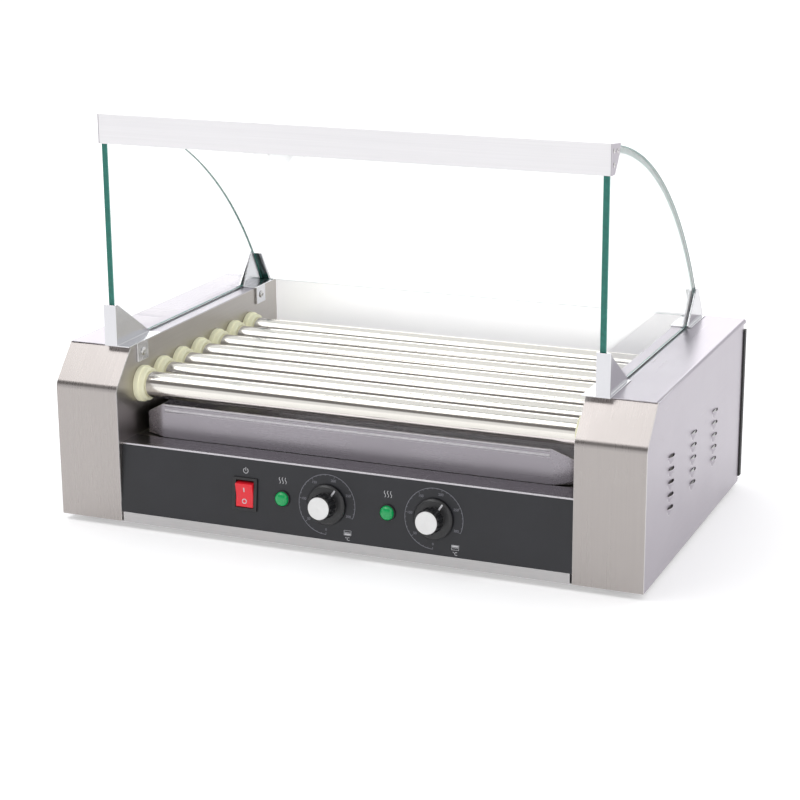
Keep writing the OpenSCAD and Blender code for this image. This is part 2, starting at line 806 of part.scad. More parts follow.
// Direction of the outward normal of the straight run from wheel a to wheel b.
function run_normal(a, b) =
    let (v = [b[0] - a[0], b[1] - a[1]])
    atan2(v[1], v[0]) - acos((a[2] - b[2]) / norm(v));

function turned(from, to) = to < from ? turned(from, to + 360) : to;

function chain_loop(off) = [
    for (i = [0 : 3])
        let (w = chain_wheels[i],
             a0 = run_normal(chain_wheels[(i + 3) % 4], w),
             a1 = turned(a0, run_normal(w, chain_wheels[(i + 1) % 4])))
        each arc([w[0], w[1]], w[2] + off, a0, a1, 20)
];

module drive_chain() {
    color("dimgray") for (x = [sprocket_x - link_gap / 2 - link_t, sprocket_x + link_gap / 2])
        slab_x(x, x + link_t) difference() {
            polygon(chain_loop(link_h / 2));
            polygon(chain_loop(-link_h / 2));
        }
}

module gear_motor() {
    color("silver") difference() {
        union() {
            rod_x(inner_x - 26, inner_x, motor_y, motor_z, motor_r);
            rod_x(inner_x - 64, inner_x - 26 + cut, motor_y, motor_z, motor_r - 4);
            rod_x(inner_x - 68, inner_x - 64 + cut, motor_y, motor_z, 8);
            slab_x(inner_x - 2, inner_x) translate([motor_y - 32, motor_z - 9]) square([64, 18]);
        }
        rod_x(inner_x - 16, inner_x + cut, motor_y, motor_z, motor_shaft_r + run_clear);
    }
}

module terminal_block() {
    y = body_d - 60;
    color("ivory") difference() {
        slab_z(sheet_t, sheet_t + 16) translate([gland_x - 30, y]) square([60, 22]);
        for (i = [0 : 3])
            at(gland_x - 22 + i * 14.6, y + 11, sheet_t + 9) cylinder(h = 8, r = 3.2, $fn = 24);
        slab_z(sheet_t + 12, sheet_t + 17) translate([gland_x - 31, y - 1]) square([62, 6]);
        slab_z(sheet_t + 12, sheet_t + 17) translate([gland_x - 31, y + 17]) square([62, 6]);
    }
}

// ---------------------------------------------------------------- hood

// Angle of the curved back where it is at distance y.
function curve_angle(y, d) = acos((y - arc_c[0]) / (curve_r - d));

// Angle of the curved back at the foot of the glass.
function foot_angle(d) = asin((glass_z - arc_c[1]) / (curve_r - d));

// Distance back of the curved back at height z.
function curve_y(z, d) = arc_c[0] + sqrt(pow(curve_r - d, 2) - pow(z - arc_c[1], 2));

module side_glass_outline() {
    polygon(concat(
        [[glass_y, glass_z]],
        arc(arc_c, curve_r, foot_angle(0), curve_angle(arc_front[0], 0), 40),
        [[glass_y, hood_z - 8]]));
}

module side_glass(side) {
    color("lightcyan") on_side(side) slab_x(glass_in, glass_out) side_glass_outline();
}

module curved_glass() {
    a_top = curve_angle(arc_front[0] - 8, 0);
    color("lightcyan") slab_x(-glass_in + slip, glass_in - slip) polygon(concat(
        arc(arc_c, curve_r, foot_angle(0), a_top, 40),
        arc(arc_c, curve_r - glass_t, a_top, foot_angle(glass_t), 40)));
}

bar_x = glass_out + 2;
bar_y = glass_y - 2;
bar_t = 1.2;

// The bar is a folded channel: a face, a top and a short return under the face.
module top_bar() {
    z0 = hood_z - bar_h;
    color("gainsboro") {
        slab_x(-bar_x + bar_t, bar_x - bar_t) polygon([
            [bar_y, z0], [bar_y, hood_z], [bar_y + bar_d, hood_z - 3],
            [bar_y + bar_d, hood_z - 3 - bar_t], [bar_y + bar_t, hood_z - bar_t],
            [bar_y + bar_t, z0]]);
        slab_x(-glass_in + slip, glass_in - slip) polygon([
            [bar_y, z0], [bar_y + 9, z0], [bar_y + 9, z0 + bar_t], [bar_y, z0 + bar_t]]);
    }
}

// Outline of a bar end: deep at the top and drawn in by an arc to the face's foot.
module bar_end_outline() {
    z0 = hood_z - bar_h;
    polygon([
        [bar_y, z0], [bar_y, hood_z], [bar_y + bar_d, hood_z - 3], [bar_y + bar_d - 3, hood_z - 10],
        [bar_y + bar_d - 8, hood_z - 18], [bar_y + 11, z0 + 2], [bar_y + 9, z0]]);
}

bar_screws = [[5, -7], [15, -8], [6, -19]];

module bar_end_plates() {
    color("silver") for (side = [-1, 1])
        on_side(side) difference() {
            slab_x(bar_x - bar_t, bar_x) bar_end_outline();
            for (p = bar_screws)
                rod_x(bar_x - bar_t - cut, bar_x + cut, bar_y + p[0], hood_z + p[1], 1.4);
        }
}

bracket_out = glass_out + clamp_gap + clamp_t;
bracket_in = glass_in - clamp_gap - clamp_t;
bracket_screw_y = [glass_y + 24, rear_clamp_y + 14];
bracket_screw_z = body_h - 9;

// A clamp bracket: two wings hold the glass, a foot stands on the top of the body
// and a tongue reaches down the bearing plate.
module clamp_bracket(side, y0, y1, screw_y) {
    top = body_h;
    color("silver") on_side(side) difference() {
        union() {
            slab_x(bracket_out - clamp_t, bracket_out) children(0);
            slab_x(bracket_in, bracket_in + clamp_t) children(1);
            slab_z(top, top + bracket_foot_t) translate([inner_x - clamp_t, y0])
                square([bracket_out + 3 - inner_x + clamp_t, y1 - y0]);
            slab_y(screw_y - 10, screw_y + 10)
                translate([inner_x - clamp_t, top - 18]) square([clamp_t, 19]);
            children(2);
        }
        rod_x(inner_x - clamp_t - cut, inner_x + cut, screw_y, bracket_screw_z, screw_r + seat);
    }
}

module front_bracket(side) {
    y0 = glass_y - clamp_gap - clamp_t;
    clamp_bracket(side, y0, y0 + bracket_l, bracket_screw_y[0]) {
        front_wing(y0);
        front_wing(y0);
        slab_y(y0, y0 + clamp_t) translate([bracket_in, body_h])
            square([bracket_out + 2.5 - bracket_in, bracket_h]);
    }
}

module front_wing(y0) {
    polygon([
        [y0, body_h], [y0, body_h + bracket_h], [y0 + 4, body_h + bracket_h],
        [y0 + bracket_l, body_h + 2], [y0 + bracket_l, body_h]]);
}

// The back of this clamp is a plate that lies on the outside of the curved glass.
module rear_bracket(side) {
    rise = 33;
    y1 = glass_back_y + 4;
    y_top = curve_y(body_h + rise, -clamp_gap - 0.7);
    clamp_bracket(side, rear_clamp_y, y1, bracket_screw_y[1]) {
        rear_wing(rise, y_top, y1);
        rear_wing(rise, curve_y(body_h + rise, glass_t + clamp_gap),
            curve_y(body_h, glass_t + clamp_gap + 3));
        slab_x(bracket_in - 6, bracket_out)
            polygon([
                [y_top, body_h + rise], [y_top + clamp_t, body_h + rise],
                [y1 + 0.5, body_h + 1], [y1 + 0.5, body_h], [y1 - clamp_t, body_h]]);
    }
}

module rear_wing(rise, y_top, y_foot) {
    polygon([
        [rear_clamp_y, body_h], [rear_clamp_y, body_h + 2], [y_top - 5, body_h + rise],
        [y_top, body_h + rise], [y_foot, body_h]]);
}

module hood_screws() {
    color("silver") {
        for (side = [-1, 1], y = bracket_screw_y)
            on_side(side) at(inner_x - clamp_t, y, bracket_screw_z) rotate([0, -90, 0])
                screw(clamp_t + plate_t + 2);
        for (side = [-1, 1], p = bar_screws)
            on_side(side) at(bar_x, bar_y + p[0], hood_z + p[1]) rotate([0, 90, 0]) {
                cylinder(h = 0.8, r = 2.2, $fn = 32);
                translate([0, 0, -bar_t]) cylinder(h = bar_t + 0.1, r = 1.38, $fn = 32);
            }
    }
}

module cover_screws() {
    color("silver") for (side = [-1, 1], z = rear_screw_z)
        at(side * rear_screw_x, body_d, z) rotate([-90, 0, 0]) screw(sheet_t + plate_t + 2);
}

// ---------------------------------------------------------------- assembly

base_pan();
bearing_plate(-1);  // left_bearing_plate
bearing_plate(1);  // right_bearing_plate
end_cover(-1);  // left_end_cover
end_cover(1);  // right_end_cover
front_cover(-1);  // left_front_cover
front_cover(1);  // right_front_cover
rear_cover();
rear_edge_strips();
control_panel();
panel_fascia();
tray_shelf();
drip_tray();
roller_bushes();
heating_elements();
element_holders();
for (i = [0 : roller_count - 1]) {
    roller(i);
    roller_sprocket(i);
}
drive_chain();
gear_motor();
motor_sprocket();
idler_sprocket();
idler_bracket();
thermostat(front_knob_x);  // front_zone_thermostat
thermostat(back_knob_x);  // back_zone_thermostat
spindle(front_knob_x);  // front_zone_spindle
spindle(back_knob_x);  // back_zone_spindle
knob(front_knob_x);  // front_zone_knob
knob(back_knob_x);  // back_zone_knob
knob_cap(front_knob_x);  // front_zone_knob_cap
knob_cap(back_knob_x);  // back_zone_knob_cap
power_switch();
power_rocker();
pilot_lamps();
terminal_block();
cable_gland();
rubber_feet();
side_glass(-1);  // left_glass
side_glass(1);  // right_glass
curved_glass();
top_bar();
bar_end_plates();
front_bracket(-1);  // front_left_bracket
front_bracket(1);  // front_right_bracket
rear_bracket(-1);  // rear_left_bracket
rear_bracket(1);  // rear_right_bracket
hood_screws();
cover_screws();
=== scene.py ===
# %% [markdown]
# # A hot dog roller grill
# The grill comes as a fixed frame: every sheet, tube, knob and screw has its size and
# its place there. This script gives each of those parts the finish and the fine shape
# of the real one: broken edges on the sheet metal, turned bushes, ribbed knobs, a
# printed panel, green glass edges. Nothing here moves or resizes a part of the frame.

# %% Load the frame
import json
import math

import bmesh
import bpy
from mathutils import Matrix, Vector


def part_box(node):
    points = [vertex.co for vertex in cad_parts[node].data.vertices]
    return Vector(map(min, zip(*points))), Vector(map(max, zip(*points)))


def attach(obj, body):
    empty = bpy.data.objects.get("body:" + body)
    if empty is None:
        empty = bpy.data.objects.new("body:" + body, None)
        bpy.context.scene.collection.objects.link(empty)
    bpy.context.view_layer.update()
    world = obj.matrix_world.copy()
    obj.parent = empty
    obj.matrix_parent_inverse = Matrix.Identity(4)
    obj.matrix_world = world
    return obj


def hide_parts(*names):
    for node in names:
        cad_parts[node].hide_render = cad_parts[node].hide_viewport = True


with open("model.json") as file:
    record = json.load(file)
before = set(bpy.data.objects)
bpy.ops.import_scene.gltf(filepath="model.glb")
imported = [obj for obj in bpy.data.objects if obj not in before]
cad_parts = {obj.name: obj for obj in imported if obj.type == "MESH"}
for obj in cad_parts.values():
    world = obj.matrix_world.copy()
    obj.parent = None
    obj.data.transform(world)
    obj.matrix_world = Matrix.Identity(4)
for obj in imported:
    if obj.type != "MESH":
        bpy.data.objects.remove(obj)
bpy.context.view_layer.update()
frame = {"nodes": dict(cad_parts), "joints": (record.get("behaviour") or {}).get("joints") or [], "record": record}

mm = 0.001
BODIES = frame["record"]["behaviour"]["bodies"]
BODY_OF = {node: body for body, nodes in BODIES.items() for node in nodes}
SLOT_OF = {name: node.data.materials[0].name for name, node in frame["nodes"].items()}

# %% [markdown]
# ## The camera
# A long lens from well back keeps the edges of the box nearly parallel, as in a
# catalogue picture. The camera is placed by the direction that it looks from, a point
# that it looks at and a distance, which is easier to read than a matrix.

# %% Camera
azimuth = math.radians(22.79)
elevation = math.radians(16.175)
roll = math.radians(-0.374)
target = Vector((-8.4, 0, 103.1)) * mm
distance = 2.025

forward = Vector((
    -math.sin(azimuth) * math.cos(elevation),
    math.cos(azimuth) * math.cos(elevation),
    -math.sin(elevation),
))
level_right = Vector((math.cos(azimuth), math.sin(azimuth), 0))
level_up = level_right.cross(forward)
right = math.cos(roll) * level_right + math.sin(roll) * level_up
up = right.cross(forward)
turn = Matrix((right, up, -forward)).transposed().to_4x4()

camera_data = bpy.data.cameras.new("camera")
camera_data.lens = 93.42
camera = bpy.data.objects.new("camera", camera_data)
camera.matrix_world = Matrix.Translation(target - forward * distance) @ turn
bpy.context.collection.objects.link(camera)
bpy.context.scene.camera = camera
print("the camera stands", round(distance, 3), "m away")

# %% [markdown]
# ## Node trees with less typing
# Materials and Geometry Nodes are both node trees. `add` makes a node and fills its
# sockets in one call: a value is set, and a socket is wired. `new_group` starts a tree
# with named inputs and outputs.

# %% Helpers for node trees
def add(tree, kind, inputs=None, **settings):
    """Adds a node; inputs is {socket name or number: a value, or a socket to wire in}."""
    made = tree.nodes.new(kind)
    for key, value in settings.items():
        setattr(made, key, value)
    for key, value in (inputs or {}).items():
        if isinstance(value, bpy.types.NodeSocket):
            tree.links.new(value, made.inputs[key])
        else:
            made.inputs[key].default_value = value
    return made


def new_group(name, kind, inputs, outputs):
    """Starts a node group; inputs are (name, socket type, value) and outputs (name, socket type)."""
    tree = bpy.data.node_groups.new(name, kind)
    for label, socket_type, value in inputs:
        socket = tree.interface.new_socket(label, in_out="INPUT", socket_type=socket_type)
        if value is not None:
            socket.default_value = value
    for label, socket_type in outputs:
        tree.interface.new_socket(label, in_out="OUTPUT", socket_type=socket_type)
    return tree, tree.nodes.new("NodeGroupInput").outputs, tree.nodes.new("NodeGroupOutput").inputs


def maths(tree, operation, a, b=0.0, clamp=False):
    """One arithmetic node; its result."""
    return add(tree, "ShaderNodeMath", {0: a, 1: b}, operation=operation, use_clamp=clamp).outputs[0]


def in_finish(tree, geometry, finish, out):
    """Ends a Geometry Nodes tree: copies made real, one material, and the output."""
    real = add(tree, "GeometryNodeRealizeInstances", {"Geometry": geometry})
    done = add(tree, "GeometryNodeSetMaterial", {"Geometry": real.outputs[0], "Material": finish})
    tree.links.new(done.outputs[0], out["Geometry"])
    return tree


def mixed(tree, factor, a, b):
    """A colour between a and b."""
    made = add(tree, "ShaderNodeMix", {0: factor}, data_type="RGBA")
    for socket, value in ((made.inputs[6], a), (made.inputs[7], b)):
        if isinstance(value, bpy.types.NodeSocket):
            tree.links.new(value, socket)
        else:
            socket.default_value = (*value, 1.0)
    return made.outputs[2]


def ramp(tree, value, stops):
    """A colour by value; stops are (position, colour)."""
    made = add(tree, "ShaderNodeValToRGB", {0: value})
    stripe = made.color_ramp.elements
    while len(stripe) < len(stops):
        stripe.new(1.0)
    for stop, (position, colour) in zip(stripe, stops):
        stop.position = position
        stop.color = (*colour, 1.0)
    return made.outputs[0]


# %% [markdown]
# ## Floor and studio light
# Polished sheet shows its surroundings more than itself. A pale room all round keeps it
# light, a wide soft box high at the front left makes the sloping faces bright, and a
# second one low at the back lifts the top plates. The room is darker in a band in front,
# half way up. The rollers show that band as the thin grey lines between them.

# %% Floor and light
def soft_box(name, place, aim, size, power):
    data = bpy.data.lights.new(name, "AREA")
    data.shape = "RECTANGLE"
    data.size, data.size_y = size
    data.energy = power
    light = bpy.data.objects.new(name, data)
    light.location = place
    light.rotation_euler = (Vector(aim) - Vector(place)).to_track_quat("-Z", "Y").to_euler()
    bpy.context.collection.objects.link(light)


soft_box("key_box", (-1.1, -0.9, 2.4), (0, 0, 0.15), (2.0, 1.4), 15)
soft_box("fill_box", (2.4, -1.6, 1.6), (0, 0, 0.15), (1.6, 1.6), 7)
soft_box("back_box", (-1.1, 3.0, 1.4), (0, 0, 0.2), (3.0, 1.2), 17)

world = bpy.data.worlds.new("room")
bpy.context.scene.world = world
world.use_nodes = True
room = world.node_tree
ray = room.nodes.new("ShaderNodeTexCoord").outputs["Generated"]
towards = add(room, "ShaderNodeSeparateXYZ", {0: ray}).outputs
pale, dim = (0.95, 0.95, 0.97), (0.20, 0.19, 0.19)
behind = ramp(room, towards["Z"], [(0.0, (0.98, 0.98, 1.0)), (1.0, (0.95, 0.95, 0.97))])
in_front = ramp(room, towards["Z"], [(0.0, pale), (0.28, pale), (0.38, dim), (0.72, dim), (0.80, pale)])
facing = add(room, "ShaderNodeMapRange", {"Value": towards["Y"], "From Min": -0.15, "From Max": -0.45})
room.links.new(mixed(room, facing.outputs[0], behind, in_front), room.nodes["Background"].inputs["Color"])
room.nodes["Background"].inputs["Strength"].default_value = 1.0

floor_r = 30
floor_glow = 0.30
floor_mesh = bpy.data.meshes.new("floor")
disc = bmesh.new()
bmesh.ops.create_circle(disc, cap_ends=True, segments=96, radius=floor_r)
disc.to_mesh(floor_mesh)
disc.free()
floor = bpy.data.objects.new("floor", floor_mesh)
bpy.context.collection.objects.link(floor)
paper = bpy.data.materials.new("paper")
paper.use_nodes = True
sheet = paper.node_tree.nodes["Principled BSDF"].inputs
sheet["Base Color"].default_value = (0.9, 0.9, 0.9, 1)
sheet["Roughness"].default_value = 0.9
sheet["Emission Color"].default_value = (1, 1, 1, 1)
sheet["Emission Strength"].default_value = floor_glow
floor_mesh.materials.append(paper)
bpy.context.scene.view_settings.view_transform = "Standard"

# %% [markdown]
# ## Effects that several finishes share
# Satin stainless is rubbed in one direction, so its grain is a noise that is squeezed
# across the rubbing and drawn out along it. Handling leaves cloudy smudges and a few
# fine scratches. Moulded plastic and rubber have an even, pebbly skin. Each effect is a
# group with its own inputs, so one recipe serves bright bars and dull inner plates.

# %% Shader groups
def brushed_grain():
    """Fine lines: Stretch gives the grain's frequency along X, Y and Z, per metre."""
    tree, given, out = new_group(
        "brushed_grain", "ShaderNodeTree",
        [("Stretch", "NodeSocketVector", (900, 8, 8)), ("Contrast", "NodeSocketFloat", 1.0)],
        [("Grain", "NodeSocketFloat"), ("Bands", "NodeSocketFloat")])
    place = add(tree, "ShaderNodeTexCoord").outputs["Object"]
    drawn = add(tree, "ShaderNodeVectorMath", {0: place, 1: given["Stretch"]}, operation="MULTIPLY")
    fine = add(tree, "ShaderNodeTexNoise", {"Vector": drawn.outputs[0], "Scale": 1.0, "Detail": 4.0,
                                            "Roughness": 0.7})
    wide = add(tree, "ShaderNodeVectorMath", {0: drawn.outputs[0], 3: 0.12}, operation="SCALE")
    bands = add(tree, "ShaderNodeTexNoise", {"Vector": wide.outputs[0], "Scale": 1.0, "Detail": 2.0})
    centred = maths(tree, "SUBTRACT", fine.outputs[0], 0.5)
    scaled = maths(tree, "MULTIPLY", centred, given["Contrast"])
    tree.links.new(maths(tree, "ADD", scaled, 0.5), out["Grain"])
    tree.links.new(bands.outputs[0], out["Bands"])
    return tree


def handling():
    """Cloudy smudges and thin scratches, both from 0 to 1."""
    tree, given, out = new_group(
        "handling", "ShaderNodeTree",
        [("Smudge Scale", "NodeSocketFloat", 9.0), ("Scratch Scale", "NodeSocketFloat", 14.0)],
        [("Smudge", "NodeSocketFloat"), ("Scratch", "NodeSocketFloat")])
    place = add(tree, "ShaderNodeTexCoord").outputs["Object"]
    cloud = add(tree, "ShaderNodeTexNoise", {"Vector": place, "Scale": given["Smudge Scale"], "Detail": 5.0,
                                             "Distortion": 0.6})
    smudge = add(tree, "ShaderNodeMapRange", {"Value": cloud.outputs[0], "From Min": 0.42,
                                              "From Max": 0.72})
    tree.links.new(smudge.outputs[0], out["Smudge"])
    bend = add(tree, "ShaderNodeTexNoise", {"Vector": place, "Scale": 6.0, "Detail": 2.0})
    moved = add(tree, "ShaderNodeVectorMath", {0: bend.outputs["Color"], 1: place}, operation="ADD")
    cells = add(tree, "ShaderNodeTexVoronoi", {"Vector": moved.outputs[0], "Scale": given["Scratch Scale"]},
                feature="DISTANCE_TO_EDGE")
    line = add(tree, "ShaderNodeMapRange", {"Value": cells.outputs["Distance"], "From Min": 0.0,
                                            "From Max": 0.006, "To Min": 1.0, "To Max": 0.0})
    here = add(tree, "ShaderNodeMapRange", {"Value": bend.outputs[0], "From Min": 0.52, "From Max": 0.62})
    tree.links.new(maths(tree, "MULTIPLY", line.outputs[0], here.outputs[0]), out["Scratch"])
    return tree


def moulded_skin():
    """The pebbly skin of a moulding, from 0 to 1."""
    tree, given, out = new_group(
        "moulded_skin", "ShaderNodeTree", [("Scale", "NodeSocketFloat", 900.0)],
        [("Skin", "NodeSocketFloat"), ("Cloud", "NodeSocketFloat")])
    place = add(tree, "ShaderNodeTexCoord").outputs["Object"]
    pebbles = add(tree, "ShaderNodeTexVoronoi", {"Vector": place, "Scale": given["Scale"]})
    grit = add(tree, "ShaderNodeTexNoise", {"Vector": place, "Scale": given["Scale"], "Detail": 3.0})
    cloud = add(tree, "ShaderNodeTexNoise", {"Vector": place, "Scale": 25.0, "Detail": 4.0})
    tree.links.new(maths(tree, "MULTIPLY", pebbles.outputs["Distance"], grit.outputs[0]), out["Skin"])
    tree.links.new(cloud.outputs[0], out["Cloud"])
    return tree


GRAIN, HANDLING, SKIN = brushed_grain(), handling(), moulded_skin()
print("shader groups:", ", ".join(g.name for g in (GRAIN, HANDLING, SKIN)))

# %% [markdown]
# ## Metals
# A metal is a coloured mirror, and how clear that mirror is makes the finish. The grain
# changes the colour a little, the roughness a little more, and stands as a very low
# relief. The broken edges of a sheet are painted lighter, partly for rubbing and partly
# as a painted highlight: they carry an attribute for worn and highlighted edges, which is
# set where those edges are made.

# %% Metal materials
def shade(colour, factor):
    """A colour made lighter or darker."""
    return tuple(min(1.0, c * factor) for c in colour)


def new_material(name):
    material = bpy.data.materials.new(name)
    material.use_nodes = True
    shader = material.node_tree.nodes["Principled BSDF"]
    return material, material.node_tree, shader


band_share = 0.3
band_shade = 0.92
# painted highlight and rubbing: the light colour that bevelled edges are painted towards
rubbed_edge_highlight = (0.86, 0.86, 0.86)
rough_swing = 0.16
scratch_depth = 0.6


def metal(name, colour, roughness, stretch, grain=0.25, smudge=0.06, relief=0.02, scratch=0.06,
          glow=0.0):
    """Brushed or drawn metal; stretch is the grain's frequency along X, Y and Z."""
    material, tree, shader = new_material(name)
    lines = add(tree, "ShaderNodeGroup", {}, node_tree=GRAIN)
    lines.inputs["Stretch"].default_value = stretch
    marks = add(tree, "ShaderNodeGroup", {}, node_tree=HANDLING)
    base = mixed(tree, lines.outputs["Grain"], shade(colour, 1 - grain), shade(colour, 1 + grain))
    bands = maths(tree, "MULTIPLY", lines.outputs["Bands"], band_share)
    base = mixed(tree, bands, base, shade(colour, band_shade))
    # bevelled edges painted lighter: partly rubbing, partly a painted highlight
    wear_and_highlight = add(tree, "ShaderNodeAttribute", attribute_name="edge_wear").outputs["Fac"]
    base = mixed(tree, maths(tree, "MULTIPLY", wear_and_highlight, 0.5), base, rubbed_edge_highlight)
    tree.links.new(base, shader.inputs["Base Color"])
    shader.inputs["Metallic"].default_value = 1.0
    rough = maths(tree, "MULTIPLY_ADD", lines.outputs["Grain"], rough_swing)
    rough.node.inputs[2].default_value = roughness - rough_swing / 2
    rough = maths(tree, "ADD", rough, maths(tree, "MULTIPLY", marks.outputs["Smudge"], smudge))
    scratched = maths(tree, "MULTIPLY", marks.outputs["Scratch"], scratch)
    tree.links.new(maths(tree, "ADD", rough, scratched, clamp=True), shader.inputs["Roughness"])
    cut = maths(tree, "MULTIPLY", marks.outputs["Scratch"], scratch_depth)
    height = maths(tree, "SUBTRACT", lines.outputs["Grain"], cut)
    bump = add(tree, "ShaderNodeBump", {"Height": height, "Strength": 0.5, "Distance": relief * mm})
    tree.links.new(bump.outputs[0], shader.inputs["Normal"])
    # painted light: an emission in the metal's own colour; only the rear cover's inner face uses it
    if glow:
        tree.links.new(base, shader.inputs["Emission Color"])
        shader.inputs["Emission Strength"].default_value = glow
    return material


ALONG_X = (7, 800, 800)
ALONG_Y = (800, 7, 800)
UPWARDS = (800, 7, 7)
ROUND_X = (1100, 6, 6)
# painted light and shade: front_steel, side_steel, ledge_steel and tray_steel stand for one stainless steel; the
# warm front, the lilac side and ledge and the dark tray are tones set to how each face is lit
front_steel = metal("front_steel", (0.415, 0.385, 0.37), 0.27, UPWARDS, grain=0.08)
side_steel = metal("side_steel", (0.43, 0.40, 0.44), 0.30, ALONG_Y, grain=0.08)
rear_steel = metal("rear_steel", (0.50, 0.49, 0.49), 0.30, ALONG_X, grain=0.10)
bar_steel = metal("bar_steel", (0.80, 0.79, 0.80), 0.33, ALONG_X, grain=0.07)
inner_steel = metal("inner_steel", (0.47, 0.445, 0.42), 0.30, ALONG_Y, grain=0.12, smudge=0.12)
# painted light: a near-white colour and a glow stand for the light that the polished inner face of the rear cover
# throws about
lit_steel = metal("lit_steel", (0.95, 0.95, 0.96), 0.45, ALONG_X, grain=0.03, glow=0.6)
ledge_steel = metal("ledge_steel", (0.52, 0.50, 0.53), 0.22, ALONG_X, grain=0.10)
tray_steel = metal("tray_steel", (0.31, 0.29, 0.315), 0.26, ALONG_X, grain=0.06, smudge=0.06, relief=0.006,
                   scratch=0.02)
roller_steel = metal("roller_steel", (0.80, 0.775, 0.72), 0.12, ROUND_X, grain=0.05, smudge=0.05,
                     relief=0.008)
chrome = metal("satin_chrome", (0.66, 0.66, 0.68), 0.17, (420, 420, 30), grain=0.06, smudge=0.10)
bright_steel = metal("bright_steel", (0.68, 0.67, 0.66), 0.18, (500, 500, 500), grain=0.12)
zinc_steel = metal("zinc_steel", (0.60, 0.61, 0.62), 0.34, (60, 60, 60), grain=0.25, smudge=0.2)
sprocket_steel = metal("sprocket_steel", (0.33, 0.32, 0.31), 0.38, (300, 300, 300), grain=0.3, smudge=0.2)
heater_sheath = metal("heater_sheath", (0.22, 0.20, 0.18), 0.48, ROUND_X, grain=0.3, smudge=0.2)
print("metals made:", len(bpy.data.materials))

# %% [markdown]
# ## Plastics, rubber and print
# A plastic keeps its own colour and adds a weak white gloss. Its skin breaks that gloss
# up, and a slow cloud in the colour keeps a large face from looking painted on. Bevelled
# edges are painted lighter, and the rocker, the unlit lamps and the bushes get a weak
# painted glow: light painted into parts that give none.

# %% Plastic materials
def plastic(name, colour, roughness, scale=1200.0, relief=0.03, cloud=0.12, coat=0.0, glow=0.0):
    """Moulded plastic, rubber or print in one colour."""
    material, tree, shader = new_material(name)
    skin = add(tree, "ShaderNodeGroup", {"Scale": scale}, node_tree=SKIN)
    base = mixed(tree, skin.outputs["Cloud"], shade(colour, 1 - cloud), shade(colour, 1 + cloud))
    fleck = maths(tree, "MULTIPLY", skin.outputs["Skin"], cloud)
    base = mixed(tree, fleck, base, shade(colour, 1.5))
    # bevelled edges painted lighter: partly rubbing, partly a painted highlight
    wear_and_highlight = add(tree, "ShaderNodeAttribute", attribute_name="edge_wear").outputs["Fac"]
    base = mixed(tree, maths(tree, "MULTIPLY", wear_and_highlight, 0.25), base, shade(colour, 1.6))
    tree.links.new(base, shader.inputs["Base Color"])
    rough = maths(tree, "MULTIPLY_ADD", skin.outputs["Cloud"], 0.14)
    rough.node.inputs[2].default_value = roughness - 0.07
    tree.links.new(rough, shader.inputs["Roughness"])
    bump = add(tree, "ShaderNodeBump", {"Height": skin.outputs["Skin"], "Strength": 0.5,
                                        "Distance": relief * mm})
    tree.links.new(bump.outputs[0], shader.inputs["Normal"])
    shader.inputs["Coat Weight"].default_value = coat
    shader.inputs["Coat Roughness"].default_value = 0.08
    # painted light: an emission in the part's own colour, though the part gives no light
    if glow:
        tree.links.new(base, shader.inputs["Emission Color"])
        shader.inputs["Emission Strength"].default_value = glow
    return material


black_facing = plastic("black_facing", (0.012, 0.0125, 0.016), 0.42, scale=700.0, relief=0.03, cloud=0.5)
knob_black = plastic("knob_black", (0.012, 0.012, 0.013), 0.34, coat=0.15)
knob_white = plastic("knob_white", (0.84, 0.84, 0.83), 0.36, cloud=0.06, coat=0.2)
switch_black = plastic("switch_black", (0.015, 0.015, 0.016), 0.36)
# painted light: the rocker and the unlit pilot lamps glow a little to look lit
rocker_red = plastic("rocker_red", (0.72, 0.012, 0.025), 0.34, cloud=0.08, coat=0.1, glow=0.10)
lamp_green = plastic("lamp_green", (0.002, 0.28, 0.075), 0.22, cloud=0.1, coat=0.25, glow=0.25)
# painted light: the bushes glow a little to look lit
seal_plastic = plastic("seal_plastic", (0.88, 0.86, 0.62), 0.44, scale=900.0, relief=0.06, cloud=0.08,
                       glow=0.12)
black_rubber = plastic("black_rubber", (0.018, 0.018, 0.018), 0.62, scale=1500.0, relief=0.08)
gland_plastic = plastic("gland_plastic", (0.02, 0.02, 0.021), 0.45)
terminal_plastic = plastic("terminal_plastic", (0.72, 0.68, 0.55), 0.45)
print_white = plastic("print_white", (0.62, 0.62, 0.64), 0.5, cloud=0.15)
print_grey = plastic("print_grey", (0.22, 0.22, 0.25), 0.5, cloud=0.2)

# %% [markdown]
# ## Glass
# Clear float glass hardly shows on its faces, and its cut edges look deep green because
# there the eye looks along the sheet. So the faces are clear and the edges have their
# own green material. A clear pane would also throw a full shadow, as the lamps' light
# can't be traced through it well, so shadow rays pass straight through.

# %% Glass materials
glass_ior = 1.5


def clear_glass():
    material, tree, shader = new_material("clear_glass")
    marks = add(tree, "ShaderNodeGroup", {}, node_tree=HANDLING)
    tint = mixed(tree, maths(tree, "MULTIPLY", marks.outputs["Smudge"], 0.25), (0.985, 0.995, 0.99),
                 (0.96, 0.985, 0.98))
    tree.links.new(tint, shader.inputs["Base Color"])
    film = maths(tree, "MULTIPLY", marks.outputs["Smudge"], 0.02)
    tree.links.new(film, shader.inputs["Roughness"])
    shader.inputs["Transmission Weight"].default_value = 1.0
    shader.inputs["IOR"].default_value = glass_ior
    through = add(tree, "ShaderNodeBsdfTransparent", {"Color": (0.93, 0.97, 0.96, 1)})
    path = add(tree, "ShaderNodeLightPath")
    both = add(tree, "ShaderNodeMixShader", {0: path.outputs["Is Shadow Ray"], 1: shader.outputs[0],
                                             2: through.outputs[0]})
    tree.links.new(both.outputs[0], tree.nodes["Material Output"].inputs["Surface"])
    return material


